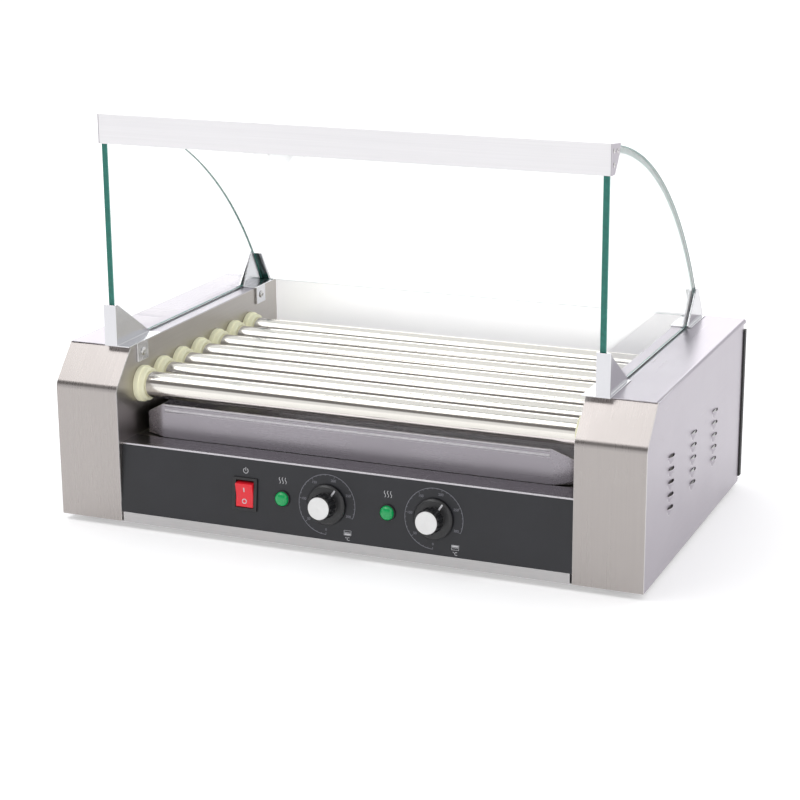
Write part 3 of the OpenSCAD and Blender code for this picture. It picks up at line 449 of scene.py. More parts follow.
def glass_edge():
    material, tree, shader = new_material("glass_edge")
    place = add(tree, "ShaderNodeTexCoord").outputs["Object"]
    chips = add(tree, "ShaderNodeTexNoise", {"Vector": place, "Scale": 260.0, "Detail": 4.0})
    # bevelled glass edges painted a lighter green: partly chipping, partly a painted highlight
    wear_and_highlight = add(tree, "ShaderNodeAttribute", attribute_name="edge_wear").outputs["Fac"]
    green = mixed(tree, chips.outputs[0], (0.003, 0.10, 0.075), (0.010, 0.20, 0.155))
    green = mixed(tree, maths(tree, "MULTIPLY", wear_and_highlight, 0.6), green, (0.22, 0.52, 0.46))
    tree.links.new(green, shader.inputs["Base Color"])
    rough = add(tree, "ShaderNodeMapRange", {"Value": chips.outputs[0], "To Min": 0.12, "To Max": 0.32})
    tree.links.new(rough.outputs[0], shader.inputs["Roughness"])
    shader.inputs["IOR"].default_value = glass_ior
    return material


glass_face, glass_rim = clear_glass(), glass_edge()

# %% [markdown]
# ## Every part of the frame gets its finish
# Parts that keep their own mesh, such as those inside the housings, only need their
# material. The others are replaced further on by a finer copy.

# %% Finishes by slot
FINISHES = {
    "brushed_steel": rear_steel, "inner_steel": inner_steel, "black_rubber": black_rubber,
    "black_facing": black_facing, "tray_steel": tray_steel, "seal_plastic": seal_plastic,
    "heater_sheath": heater_sheath, "zinc_steel": zinc_steel, "roller_steel": roller_steel,
    "sprocket_steel": sprocket_steel, "bright_steel": bright_steel, "knob_black": knob_black,
    "knob_white": knob_white, "switch_black": switch_black, "rocker_red": rocker_red,
    "lamp_green": lamp_green, "terminal_plastic": terminal_plastic, "gland_plastic": gland_plastic,
    "glass": glass_face, "satin_chrome": chrome,
}
for name, node in frame["nodes"].items():
    node.data.materials[0] = FINISHES[SLOT_OF[name]]

# %% [markdown]
# ## Pieces, and the edges of sheet metal
# `finish_piece` says for each piece what it rides on and what it stands for. `refined`
# copies a part, joins its loose triangles, clears the lines across its flat faces and
# then rounds every sharp edge by a fraction of a millimetre. No real edge is perfectly
# sharp, and this thin round is what catches the light.

# %% Helpers for pieces
def finish_piece(obj, body, slot, *nodes):
    """Ties a piece to its body and to the parts that it stands for; slot is not used."""
    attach(obj, body)
    if nodes:
        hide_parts(*nodes)
    return obj


def as_object(name, mesh, *materials):
    obj = bpy.data.objects.new(name, mesh)
    bpy.context.collection.objects.link(obj)
    for material in materials:
        mesh.materials.append(material)
    return obj


def baked(obj):
    """The object with its modifiers turned into plain mesh."""
    graph = bpy.context.evaluated_depsgraph_get()
    plain = bpy.data.meshes.new_from_object(obj.evaluated_get(graph), preserve_all_data_layers=True,
                                            depsgraph=graph)
    name, materials = obj.name, [slot.material for slot in obj.material_slots]
    bpy.data.objects.remove(obj)
    plain.name = name
    return as_object(name, plain, *([] if len(plain.materials) else materials))


def weighted(obj):
    """Smooth shading that keeps large faces flat."""
    obj.data.shade_smooth()
    obj.modifiers.new("weighted", "WEIGHTED_NORMAL").weight = 90
    return baked(obj)


def break_edges(bm, width, sharp=30):
    """Rounds the edges sharper than an angle, and marks the new faces as worn and painted bright."""
    wear_and_highlight = bm.faces.layers.float.new("edge_wear")
    edges = [e for e in bm.edges if e.is_manifold and e.calc_face_angle(0) > math.radians(sharp)]
    made = bmesh.ops.bevel(bm, geom=edges, offset=width, segments=2, profile=0.5, affect="EDGES",
                           clamp_overlap=False)
    for face in made["faces"]:
        face[wear_and_highlight] = 1.0


def cad_copy(node):
    """A merged copy of a part's mesh, with clean flat faces."""
    bm = bmesh.new()
    bm.from_mesh(frame["nodes"][node].data)
    bmesh.ops.remove_doubles(bm, verts=bm.verts, dist=0.01 * mm)
    bmesh.ops.dissolve_limit(bm, angle_limit=math.radians(0.5), verts=bm.verts, edges=bm.edges)
    return bm


def refined(node, material, width=0.3 * mm, name=None, rim=None, is_rim=None):
    """A finer copy of a part, which then stands for it; is_rim picks faces for a second material."""
    bm = cad_copy(node)
    if is_rim:
        for face in bm.faces:
            face.material_index = 1 if is_rim(face) else 0
    break_edges(bm, width)
    if is_rim:
        wear_and_highlight = bm.faces.layers.float["edge_wear"]
        for face in bm.faces:
            if face[wear_and_highlight]:
                face.material_index = 1
    mesh = bpy.data.meshes.new(name or node + "_finished")
    bm.to_mesh(mesh)
    bm.free()
    obj = as_object(mesh.name, mesh, *([material, rim] if rim else [material]))
    return finish_piece(weighted(obj), BODY_OF[node], SLOT_OF[node], node)


# %% [markdown]
# ## Sheet metal
# Every sheet has the grain of its own rolling: upwards on the front covers, from front
# to back on the ends, and across on the bar, the ledge and the tray. The rear cover has
# two finishes, as its inner face is polished to throw light and heat on the rollers.
# That face has a glow of its own, which stands for the light that the
# polished sheets pass to and fro. Real steel doesn't glow.

# %% Sheet metal
# the different tones of these steels are painted light and shade, set to how each face is lit
SHEETS = {
    "base_pan": rear_steel, "left_front_cover": front_steel, "right_front_cover": front_steel,
    "left_end_cover": side_steel, "right_end_cover": side_steel,
    "left_bearing_plate": inner_steel, "right_bearing_plate": inner_steel,
    "control_panel": ledge_steel, "tray_shelf": inner_steel, "drip_tray": tray_steel,
    "top_bar": bar_steel, "bar_end_plates": side_steel,
    "front_left_bracket": chrome, "front_right_bracket": chrome,
    "rear_left_bracket": chrome, "rear_right_bracket": chrome,
}
for node, material in SHEETS.items():
    refined(node, material)


def looks_in(face):
    """True for the face of the rear cover that closes the cooking space."""
    return face.normal.y < -0.9


# painted light: the rear cover's inner face gets the near-white, glowing lit_steel
refined("rear_cover", rear_steel, rim=lit_steel, is_rim=looks_in)
# painted shade: the rear_edge_strips are black strips put in the recess at the back of each end cover to make its
# shade dark
for node, width in {"panel_fascia": 0.15, "rear_edge_strips": 0.6, "power_switch": 0.4,
                    "rubber_feet": 0.8, "cable_gland": 0.5}.items():
    refined(node, FINISHES[SLOT_OF[node]], width * mm)
print("sheet metal and mouldings:", len(SHEETS) + 6, "pieces")

# %% [markdown]
# ## The hood's glass
# The side panes are cut to the curve of the back pane. A face of a pane is an edge
# face when it looks along the sheet: sideways never on a side pane, and on the curved
# pane only at its two ends, its foot and its top. The feet of the side panes stay clear,
# as light comes up through them from the bright steel below.

# %% Hood glass
def side_rim(face):
    return abs(face.normal.x) < 0.5 and face.normal.z > -0.5


def curved_rim(face):
    return abs(face.normal.x) > 0.5 or face.normal.z < -0.985 or face.normal.y < -0.9


for node, is_rim in (("left_glass", side_rim), ("right_glass", side_rim), ("curved_glass", curved_rim)):
    refined(node, glass_face, 0.5 * mm, rim=glass_rim, is_rim=is_rim)

# %% [markdown]
# ## The rollers
# A roller is a thin stainless tube. Geometry Nodes draw it by sweeping a circle along a
# straight line, Solidify gives the wall and Bevel breaks the two rims. The tree has
# named inputs, so the same tree makes every tube, each with its own height and place.

# %% Tube tree
def tube_tree():
    tree, given, out = new_group(
        "tube", "GeometryNodeTree",
        [("Start", "NodeSocketVector", (0, 0, 0)), ("End", "NodeSocketVector", (1, 0, 0)),
         ("Radius", "NodeSocketFloat", 0.01), ("Sides", "NodeSocketInt", 64),
         ("Finish", "NodeSocketMaterial", None)],
        [("Geometry", "NodeSocketGeometry")])
    line = add(tree, "GeometryNodeCurvePrimitiveLine", {"Start": given["Start"], "End": given["End"]})
    rings = add(tree, "GeometryNodeResampleCurve", {"Curve": line.outputs[0], "Count": 60})
    ring = add(tree, "GeometryNodeCurvePrimitiveCircle", {"Resolution": given["Sides"],
                                                         "Radius": given["Radius"]})
    swept = add(tree, "GeometryNodeCurveToMesh", {"Curve": rings.outputs[0],
                                                  "Profile Curve": ring.outputs[0]})
    return in_finish(tree, swept.outputs[0], given["Finish"], out)


def by_tree(name, tree, values, mesh=None):
    """An object shaped by a Geometry Nodes tree; its inputs are set by their identifiers."""
    obj = as_object(name, mesh or bpy.data.meshes.new(name))
    shape = obj.modifiers.new("shape", "NODES")
    shape.node_group = tree
    keys = {item.name: item.identifier for item in tree.interface.items_tree if item.in_out == "INPUT"}
    for label, value in values.items():
        shape[keys[label]] = value
    return obj


TUBE = tube_tree()
roller_nodes = sorted(n for n in frame["nodes"] if n.startswith("roller_") and n != "roller_bushes")
for node in roller_nodes:
    low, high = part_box(node)
    middle = (low + high) / 2
    tube = by_tree(node + "_tube", TUBE, {
        "Start": (low.x, middle.y, middle.z), "End": (high.x, middle.y, middle.z),
        "Radius": (high.z - low.z) / 2, "Sides": 72, "Finish": roller_steel})
    thick = tube.modifiers.new("wall", "SOLIDIFY")
    thick.thickness = 1.0 * mm
    thick.offset = -1
    rims = tube.modifiers.new("rims", "BEVEL")
    rims.width = 0.25 * mm
    rims.segments = 2
    rims.angle_limit = math.radians(50)
    finish_piece(weighted(baked(tube)), BODY_OF[node], SLOT_OF[node], node)
print(len(roller_nodes), "rollers")

# %% [markdown]
# ## Turned parts
# Bushes, knobs, lamps and screw heads are round. Their shape is one outline, given as
# (distance along the axis, radius), that is swung round the axis. `soften` rounds the
# corners of an outline first, which is much cheaper than rounding the finished mesh.

# %% Helpers for turned parts
def soften(outline, radius, steps=3, closed=False):
    """Rounds the corners of an outline by about a radius."""
    made = []
    count = len(outline)
    for i, point in enumerate(outline):
        here = Vector(point)
        if not closed and i in (0, count - 1):
            made.append(here)
            continue
        before = Vector(outline[i - 1]) - here
        after = Vector(outline[(i + 1) % count]) - here
        reach = min(radius, before.length * 0.45, after.length * 0.45)
        a = here + before.normalized() * reach
        b = here + after.normalized() * reach
        for k in range(steps + 1):
            t = k / steps
            made.append((1 - t) ** 2 * a + 2 * t * (1 - t) * here + t ** 2 * b)
    return made


def turned(outline, sides=64, closed=False):
    """A mesh made by swinging an outline of (along, radius) round Z."""
    bm = bmesh.new()
    rings = []
    for along, radius in outline:
        count = sides if radius > 1e-7 else 1
        rings.append([
            bm.verts.new((radius * math.cos(2 * math.pi * k / sides),
                          radius * math.sin(2 * math.pi * k / sides), along))
            for k in range(count)])
    pairs = list(zip(rings, rings[1:])) + ([(rings[-1], rings[0])] if closed else [])
    for low, high in pairs:
        for k in range(sides):
            following = k + 1
            loop = [low[k % len(low)], low[following % len(low)],
                    high[following % len(high)], high[k % len(high)]]
            corners = [v for i, v in enumerate(loop) if v not in loop[:i]]
            if len(corners) > 2:
                bm.faces.new(corners)
    bmesh.ops.recalc_face_normals(bm, faces=bm.faces)
    return bm


def bm_object(name, bm, *materials, smooth=True):
    mesh = bpy.data.meshes.new(name)
    bm.to_mesh(mesh)
    bm.free()
    if smooth:
        mesh.shade_smooth()
    return as_object(name, mesh, *materials)


def joined(name, objects, *materials):
    """Several objects made one piece, with its place in its mesh."""
    bm = bmesh.new()
    for obj in objects:
        bm.from_mesh(obj.data)
        bpy.data.objects.remove(obj)
    return bm_object(name, bm, *materials)


# %% [markdown]
# ## Copies on points and in a ring
# Fourteen bushes, sixteen screws, the ribs of a knob and the ticks of a dial are each
# one small part, repeated. Two trees do that: one puts a copy on every point of a mesh,
# turned by the point's own `turn`, and the other spaces copies evenly round a circle.

# %% Trees for copies
def copies_tree():
    tree, given, out = new_group(
        "copies_on_points", "GeometryNodeTree",
        [("Points", "NodeSocketGeometry", None), ("Part", "NodeSocketObject", None),
         ("Finish", "NodeSocketMaterial", None)],
        [("Geometry", "NodeSocketGeometry")])
    part = add(tree, "GeometryNodeObjectInfo", {"Object": given["Part"]})
    turn_of = add(tree, "GeometryNodeInputNamedAttribute", {"Name": "turn"}, data_type="FLOAT_VECTOR")
    placed = add(tree, "GeometryNodeInstanceOnPoints", {
        "Points": given["Points"], "Instance": part.outputs["Geometry"], "Rotation": turn_of.outputs[0]})
    return in_finish(tree, placed.outputs[0], given["Finish"], out)


def ring_tree():
    tree, given, out = new_group(
        "ring_of_copies", "GeometryNodeTree",
        [("Count", "NodeSocketInt", 12), ("Radius", "NodeSocketFloat", 0.01),
         ("Start", "NodeSocketFloat", 0.0), ("Step", "NodeSocketFloat", 0.5),
         ("Part", "NodeSocketObject", None), ("Finish", "NodeSocketMaterial", None)],
        [("Geometry", "NodeSocketGeometry")])
    index = add(tree, "GeometryNodeInputIndex").outputs[0]
    angle = maths(tree, "ADD", maths(tree, "MULTIPLY", index, given["Step"]), given["Start"])
    x = maths(tree, "MULTIPLY", maths(tree, "COSINE", angle), given["Radius"])
    y = maths(tree, "MULTIPLY", maths(tree, "SINE", angle), given["Radius"])
    place = add(tree, "ShaderNodeCombineXYZ", {0: x, 1: y})
    points = add(tree, "GeometryNodePoints", {"Count": given["Count"], "Position": place.outputs[0]})
    part = add(tree, "GeometryNodeObjectInfo", {"Object": given["Part"]})
    facing = add(tree, "ShaderNodeCombineXYZ", {2: angle})
    placed = add(tree, "GeometryNodeInstanceOnPoints", {
        "Points": points.outputs[0], "Instance": part.outputs["Geometry"], "Rotation": facing.outputs[0]})
    return in_finish(tree, placed.outputs[0], given["Finish"], out)


COPIES, RING = copies_tree(), ring_tree()


def copies(name, part, places, material):
    """One mesh of a part repeated at places, each a (point, turn about X, Y and Z)."""
    mesh = bpy.data.meshes.new(name)
    mesh.from_pydata([place for place, _ in places], [], [])
    turns = mesh.attributes.new("turn", "FLOAT_VECTOR", "POINT")
    for i, (_, angles) in enumerate(places):
        turns.data[i].vector = angles
    obj = baked(by_tree(name, COPIES, {"Part": part, "Finish": material}, mesh))
    bpy.data.objects.remove(part)
    return obj


def ring(name, part, material, count, radius, start, step, keep=False):
    """One mesh of a part repeated round a circle about Z."""
    obj = baked(by_tree(name, RING, {"Count": count, "Radius": radius, "Start": start, "Step": step,
                                     "Part": part, "Finish": material}))
    if not keep:
        bpy.data.objects.remove(part)
    return obj


print("trees:", TUBE.name, COPIES.name, RING.name)

# %% [markdown]
# ## Bushes
# Each roller turns in a heat-proof plastic bush that is pressed into the bearing plate.
# It has a wide flange against the plate and a narrower nose round the tube.

# %% Bushes
def islands(node):
    """The lowest and highest corner of each separate solid of a part."""
    bm = cad_copy(node)
    bm.verts.ensure_lookup_table()
    seen, found = set(), []
    for vert in bm.verts:
        if vert in seen:
            continue
        group, front = [], [vert]
        seen.add(vert)
        while front:
            v = front.pop()
            group.append(v.co)
            for other in (e.other_vert(v) for e in v.link_edges):
                if other not in seen:
                    seen.add(other)
                    front.append(other)
        found.append((Vector(map(min, *group)), Vector(map(max, *group))))
    bm.free()
    return found


running_gap = 0.05 * mm
flange_step = 1.8 * mm
sleeve_wall = 1.9 * mm
bush_round = 0.7 * mm
plate_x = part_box("right_bearing_plate")[0].x
bush_low, bush_high = islands("roller_bushes")[0]
bush_r = (bush_high.z - bush_low.z) / 2
tube_r = (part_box("roller_1")[1].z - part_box("roller_1")[0].z) / 2
bore_r = tube_r + running_gap
proud = plate_x - min(abs(bush_low.x), abs(bush_high.x))
inside = max(abs(bush_low.x), abs(bush_high.x)) - plate_x
nose_r = bush_r - flange_step
sleeve_r = bore_r + sleeve_wall
outline = soften([
    (-inside, bore_r), (-inside, sleeve_r), (0, sleeve_r), (0, bush_r), (proud / 2, bush_r),
    (proud / 2, nose_r), (proud, nose_r), (proud, bore_r)], bush_round, closed=True)
bush = bm_object("bush", turned(outline, 72, closed=True))
places = []
for low, high in islands("roller_bushes"):
    middle = (low + high) / 2
    side = 1 if middle.x > 0 else -1
    places.append(((side * plate_x, middle.y, middle.z), (0, -side * math.pi / 2, 0)))
bushes = copies("bushes", bush, places, seal_plastic)
finish_piece(bushes, "cabinet", "seal_plastic", "roller_bushes")
print(len(places), "bushes")

# %% [markdown]
# ## Screws
# A pan-head screw is a low dome with a cross recess. One head is turned and its recess
# is cut out with a Boolean, and the tree puts a copy on every screw of the frame.

# %% Screws
screw_r = 3.8 * mm
screw_h = 1.8 * mm
bar_screw_r = 2.2 * mm
bar_screw_h = 0.8 * mm
into_tongue = 5 * mm        # a bracket's screws sit this near the bearing plate's face


def screw_part(radius, height, length):
    dome = soften([(0, 0), (0, radius), (height * 0.45, radius), (height, radius * 0.55), (height, 0)],
                  height * 0.35, 4)
    head = bm_object("head", turned(dome, 32))
    blades = bmesh.new()
    at_top = Matrix.Translation((0, 0, height))
    for size in ((radius * 1.1, radius * 0.22, height), (radius * 0.22, radius * 1.1, height)):
        bmesh.ops.create_cube(blades, size=1, matrix=at_top @ Matrix.Diagonal((*size, 1)))
    cross = bm_object("cross", blades, smooth=False)
    cut = head.modifiers.new("recess", "BOOLEAN")
    cut.object = cross
    cut.operation = "DIFFERENCE"
    cut.use_self = True
    head = weighted(head)
    bpy.data.objects.remove(cross)
    stem = [(-length, 0), (-length, radius / 2), (0.2 * mm, radius / 2), (0.2 * mm, 0)]
    shank = bm_object("shank", turned(stem, 24))
    return joined("screw", [head, shank])


def screw_places(node, wanted):
    """Where a node's screws sit: the seat of the head and the turn that faces it out."""
    found = []
    for low, high in islands(node):
        middle = (low + high) / 2
        place = wanted(low, high, middle)
        if place:
            found.append(place)
    return found


def inner_screw(low, high, middle):
    side = 1 if middle.x > 0 else -1
    if abs(middle.x) < plate_x + into_tongue:
        seat = (plate_x - 2 * mm) * side
        return (seat, middle.y, middle.z), (0, -side * math.pi / 2, 0)


def bar_screw(low, high, middle):
    side = 1 if middle.x > 0 else -1
    if abs(middle.x) > plate_x + into_tongue:
        seat = side * (max(abs(low.x), abs(high.x)) - bar_screw_h)
        return (seat, middle.y, middle.z), (0, side * math.pi / 2, 0)


def cover_screw(low, high, middle):
    return (middle.x, high.y - screw_h, middle.z), (-math.pi / 2, 0, 0)


inner = copies("bracket_screws", screw_part(screw_r, screw_h, 5 * mm),
               screw_places("hood_screws", inner_screw), bright_steel)
finish_piece(inner, "cabinet", "bright_steel", "hood_screws")
ends = copies("bar_screws", screw_part(bar_screw_r, bar_screw_h, 1 * mm),
              screw_places("hood_screws", bar_screw), bright_steel)
finish_piece(ends, "cabinet", "bright_steel", "hood_screws")
rear = copies("rear_screws", screw_part(screw_r, screw_h, 4 * mm),
              screw_places("cover_screws", cover_screw), bright_steel)
finish_piece(rear, "cabinet", "bright_steel", "cover_screws")
print("screws placed on", [len(islands(n)) for n in ("hood_screws", "cover_screws")], "points")

# %% [markdown]
# ## The panel's own frame
# Knobs, lamps, switch and print all stand on a panel that leans back. They are made
# flat, with Z as the panel's normal, and one matrix puts them in place. The knob's joint
# gives the normal, and the middle of its white cap gives a point on its axis.

# %% Panel frame
knob_joint = next(j for j in frame["joints"] if j["name"] == "front_zone_knob_turn")
normal = Vector(knob_joint["axis"]).normalized()
across = Vector((1, 0, 0))
upward = normal.cross(across)
knob_height = 19 * mm
cap_thick = 1.2 * mm


def middle_of(node):
    low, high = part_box(node)
    return (low + high) / 2


def panel_frame(x):
    """The matrix of the panel at a distance across it, at the height of the controls."""
    point = middle_of("front_zone_knob_cap") - normal * (knob_height - cap_thick / 2)
    lean = Matrix((across, upward, normal)).transposed().to_4x4()
    return Matrix.Translation((x, point.y, point.z)) @ lean


def on_panel(obj, x, turn_by=0.0):
    """Puts a flat-made object on the panel, with its place in its mesh."""
    obj.data.transform(panel_frame(x) @ Matrix.Rotation(turn_by, 4, "Z"))
    return obj


def slab(name, size, place, bevel, *materials):
    """A small block with rounded edges; place is its middle."""
    bm = bmesh.new()
    bmesh.ops.create_cube(bm, size=1, matrix=Matrix.Translation(place) @ Matrix.Diagonal((*size, 1)))
    bmesh.ops.bevel(bm, geom=bm.edges[:], offset=bevel, segments=3, profile=0.5, affect="EDGES")
    return bm_object(name, bm, *materials)


# %% [markdown]
# ## Knobs
# A knob is a wide skirt with a ribbed grip and a white cap let into its top. The body is
# turned, the ribs are a ring of copies, and the pointer is a white inlay on the skirt,
# which turns with the knob.

# %% Knobs
pointer = math.radians(90 - 33)
grip_r = 12 * mm
skirt_h = 5 * mm


def knob(node, x):
    low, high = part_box(node)
    skirt_r = (high.x - low.x) / 2
    cap_r = (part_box(node + "_cap")[1].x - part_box(node + "_cap")[0].x) / 2
    body = soften([
        (1.2 * mm, 3.2 * mm), (1.2 * mm, skirt_r), (2.6 * mm, skirt_r), (skirt_h, skirt_r - 2.2 * mm),
        (skirt_h, grip_r - 0.6 * mm), (knob_height, grip_r - 1.0 * mm), (knob_height, cap_r + 0.05 * mm),
        (knob_height - cap_thick, cap_r + 0.05 * mm), (knob_height - cap_thick, 3.2 * mm)],
        0.6 * mm, closed=True)
    core = bm_object("core", turned(body, 96, closed=True))
    rib = slab("rib", (1.7 * mm, 2.6 * mm, knob_height - skirt_h - 0.8 * mm),
               (0, 0, (knob_height + skirt_h - 0.8 * mm) / 2), 0.75 * mm)
    ribs = ring("ribs", rib, knob_black, 16, grip_r - 0.9 * mm, 0, math.tau / 16)
    whole = on_panel(joined(node + "_body", [core, ribs], knob_black), x)
    finish_piece(whole, BODY_OF[node], "knob_black", node)
    mark = slab(node + "_pointer", (6.2 * mm, 1.7 * mm, 0.7 * mm), (grip_r + 2.6 * mm, 0, skirt_h),
                0.25 * mm, print_white)
    finish_piece(on_panel(mark, x, pointer), BODY_OF[node], "knob_white")
    top = knob_height
    rings = [(top - cap_thick, 0), (top - cap_thick, cap_r), (top - 0.35 * mm, cap_r),
             (top - 0.02 * mm, cap_r - 0.5 * mm)]
    for k in range(7, 0, -1):
        rings += [(top - 0.02 * mm, cap_r * k / 8 + 0.15 * mm), (top - 0.14 * mm, cap_r * k / 8)]
    rings.append((top - 0.05 * mm, 0))
    cap = bm_object(node + "_cap_disc", turned(rings, 72), knob_white)
    finish_piece(on_panel(cap, x), BODY_OF[node], "knob_white", node + "_cap")


knob_x = [middle_of(n).x for n in ("front_zone_knob", "back_zone_knob")]
knob("front_zone_knob", knob_x[0])
knob("back_zone_knob", knob_x[1])
print("knobs at", [round(x / mm, 1) for x in knob_x], "mm across")

# %% [markdown]
# ## Lamps and rocker
# A pilot lamp is a green lens in a thin dark ring. Rings pressed into the lens break up
# its highlight. The rocker keeps its frame shape, with softer edges and two marks.

# %% Lamps and rocker
lamp_low, lamp_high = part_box("pilot_lamps")
lamp_r = 8 * mm
lamp_x = (lamp_low.x + lamp_r, lamp_high.x - lamp_r)
lens_top = 5.4 * mm
bezels, lenses = [], []
for x in lamp_x:
    collar = soften([
        (-18 * mm, 0), (-18 * mm, 6 * mm), (0, 6 * mm), (0, lamp_r), (1.7 * mm, lamp_r - 0.2 * mm),
        (1.7 * mm, lamp_r - 1.1 * mm), (0.6 * mm, lamp_r - 1.2 * mm), (0.6 * mm, 0)], 0.35 * mm)
    bezels.append(on_panel(bm_object("collar", turned(collar, 64)), x))
    dome = [(0.4 * mm, 0), (0.4 * mm, lamp_r - 1.2 * mm)]
    for k in range(13):
        t = k / 12 * math.pi / 2
        wave = 0.10 * mm * (k % 2)
        dome.append((0.9 * mm + (lens_top - 0.9 * mm) * math.sin(t),
                     (lamp_r - 1.25 * mm) * math.cos(t) - wave))
    dome[-1] = (lens_top, 0)
    lenses.append(on_panel(bm_object("lens", turned(dome, 64)), x))
finish_piece(joined("lamp_collars", bezels, switch_black), "cabinet", "switch_black", "pilot_lamps")
finish_piece(joined("lamp_lenses", lenses, lamp_green), "cabinet", "lamp_green", "pilot_lamps")

refined("power_rocker", rocker_red, 0.6 * mm)
switch_x = middle_of("power_switch").x
pivot = Matrix.Translation((0, 0, -6 * mm)) @ Matrix.Rotation(math.radians(8), 4, "X")
half_lean = math.atan2(1.4, 11.2)
marks = []
for half, shape in ((-1, "ring"), (1, "bar")):
    face = Matrix.Translation((0, half * 5.6 * mm, 8.5 * mm)) @ Matrix.Rotation(half * half_lean, 4, "X")
    if shape == "bar":
        mark = slab("mark", (1.1 * mm, 4.4 * mm, 0.3 * mm), (0, 0, 0), 0.1 * mm)
    else:
        profile = [(-0.12 * mm, 1.6 * mm), (-0.12 * mm, 2.5 * mm),
                   (0.12 * mm, 2.4 * mm), (0.12 * mm, 1.7 * mm)]
        mark = bm_object("mark", turned(profile, 40, closed=True))
    mark.data.transform(panel_frame(switch_x) @ pivot @ face)
    marks.append(mark)
finish_piece(joined("rocker_marks", marks, print_white), "power_rocker", "knob_white")

# %% [markdown]
# ## The printed panel
# The dials are screen-printed: a thin ring that is open at the lower right, ticks, and
# numbers in degrees. The signs beside them are plain pictograms. Print is ink, so it
# stands only a few hundredths of a millimetre over the facing.

# %% Panel print
ink = 0.05 * mm
dial_r = 28 * mm
dial_start = math.radians(-90)
dial_sweep = math.radians(-292)
labels = ("0", "50", "100", "150", "200", "250", "300")
sign_y = -25.2 * mm         # the lower bar of a zone's sign
heat_y = 17 * mm            # the middle of the waves over a lamp
power_y = 22 * mm           # the middle of the sign over the switch


def stroke(points, width, name="stroke"):
    """A printed line through points on the panel's face."""
    curve = bpy.data.curves.new(name, "CURVE")
    curve.dimensions = "3D"
    curve.bevel_depth = width / 2
    curve.bevel_resolution = 2
    curve.use_fill_caps = True
    spline = curve.splines.new("POLY")
    spline.points.add(len(points) - 1)
    for target_point, (x, y) in zip(spline.points, points):
        target_point.co = (x, y, 0, 1)
    return flattened(name, curve, 2 * ink / width)


def flattened(name, curve, squash):
    """A curve or text made a mesh and pressed flat."""
    source = bpy.data.objects.new(name, curve)
    bpy.context.collection.objects.link(source)
    bpy.context.view_layer.update()
    mesh = bpy.data.meshes.new_from_object(source.evaluated_get(bpy.context.evaluated_depsgraph_get()))
    bpy.data.objects.remove(source)
    mesh.transform(Matrix.Diagonal((1, 1, squash, 1)))
    return as_object(name, mesh)


def lettering(body, size, x, y):
    text = bpy.data.curves.new("text", "FONT")
    text.body = body
    text.size = size
    text.align_x = text.align_y = "CENTER"
    text.extrude = ink
    label = flattened("label", text, 1.0)
    label.data.transform(Matrix.Translation((x, y, 0)))
    return label


def arc(radius, start, sweep, steps=48, centre=(0, 0)):
    return [(centre[0] + radius * math.cos(start + sweep * k / steps),
             centre[1] + radius * math.sin(start + sweep * k / steps)) for k in range(steps + 1)]


def zone_sign(front):
    """Two stacked bars for the two halves of the rollers, with the heated half filled."""
    made = []
    for row, filled in ((1, not front), (0, front)):
        y = sign_y + row * 2.6 * mm
        corners = [(18 * mm, y - 0.9 * mm), (25 * mm, y - 0.9 * mm), (25 * mm, y + 0.9 * mm),
                   (18 * mm, y + 0.9 * mm), (18 * mm, y - 0.9 * mm)]
        made.append(stroke(corners, 0.35 * mm))
        if filled:
            made.append(stroke([(18.5 * mm, y), (24.5 * mm, y)], 1.2 * mm))
    return made


def heat_sign():
    """Three rising waves."""
    wave = [(0.7 * math.sin(t * math.pi / 4) * mm, (t * 0.75 - 3) * mm) for t in range(9)]
    return [stroke([(x + offset * mm, y + heat_y) for x, y in wave], 0.5 * mm) for offset in (-3, 0, 3)]


def power_sign():
    ring_part = stroke(arc(2.4 * mm, math.radians(125), math.radians(290), 24, (0, power_y)), 0.55 * mm)
    return [ring_part, stroke([(0, power_y), (0, power_y + 3.2 * mm)], 0.55 * mm)]


grey_print, white_print = [], []
for x, front in zip(knob_x, (True, False)):
    dial = [stroke(arc(dial_r, dial_start, dial_sweep), 0.45 * mm)]
    step = dial_sweep / (len(labels) - 1)
    for divisions, length in ((1, 2.0), (5, 1.1)):
        tick = slab("tick", (length * mm, 0.35 * mm, 2 * ink), (-length / 2 * mm, 0, 0), 0.02 * mm)
        dial.append(ring("ticks", tick, print_grey, (len(labels) - 1) * divisions + 1, dial_r, dial_start,
                         step / divisions))
    for k, label in enumerate(labels):
        angle = dial_start + step * k
        radius = dial_r - 4.6 * mm
        dial.append(lettering(label, 3.3 * mm, radius * math.cos(angle), radius * math.sin(angle)))
    grey_print += [on_panel(obj, x) for obj in dial]
    signs = zone_sign(front) + [lettering("°C", 4.2 * mm, 21.5 * mm, -29.6 * mm)]
    white_print += [on_panel(obj, x) for obj in signs]
for x in lamp_x:
    white_print += [on_panel(obj, x) for obj in heat_sign()]
white_print += [on_panel(obj, switch_x) for obj in power_sign()]
finish_piece(joined("dial_print", grey_print, print_grey), "cabinet", "knob_white")
finish_piece(joined("sign_print", white_print, print_white), "cabinet", "knob_white")

# %% [markdown]
# ## The drive chain
# A roller chain runs round seven roller sprockets, the motor and the idler. Its path is
# straight runs and arcs, worked out from the places and sizes of the sprockets. The tree
# spaces links evenly on that path and turns each one along it. Every second link is the
# outer kind and sits a plate's thickness further out. Only the plates and the rivet
# heads are made, which leaves the toothed wheels free to turn between them.

# %% Chain
def wheel(node):
    """The middle and the pitch radius of a sprocket, in (y, z)."""
    low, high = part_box(node)
    return Vector(((low.y + high.y) / 2, (low.z + high.z) / 2)), (high.z - low.z) / 2 - 1.2 * mm


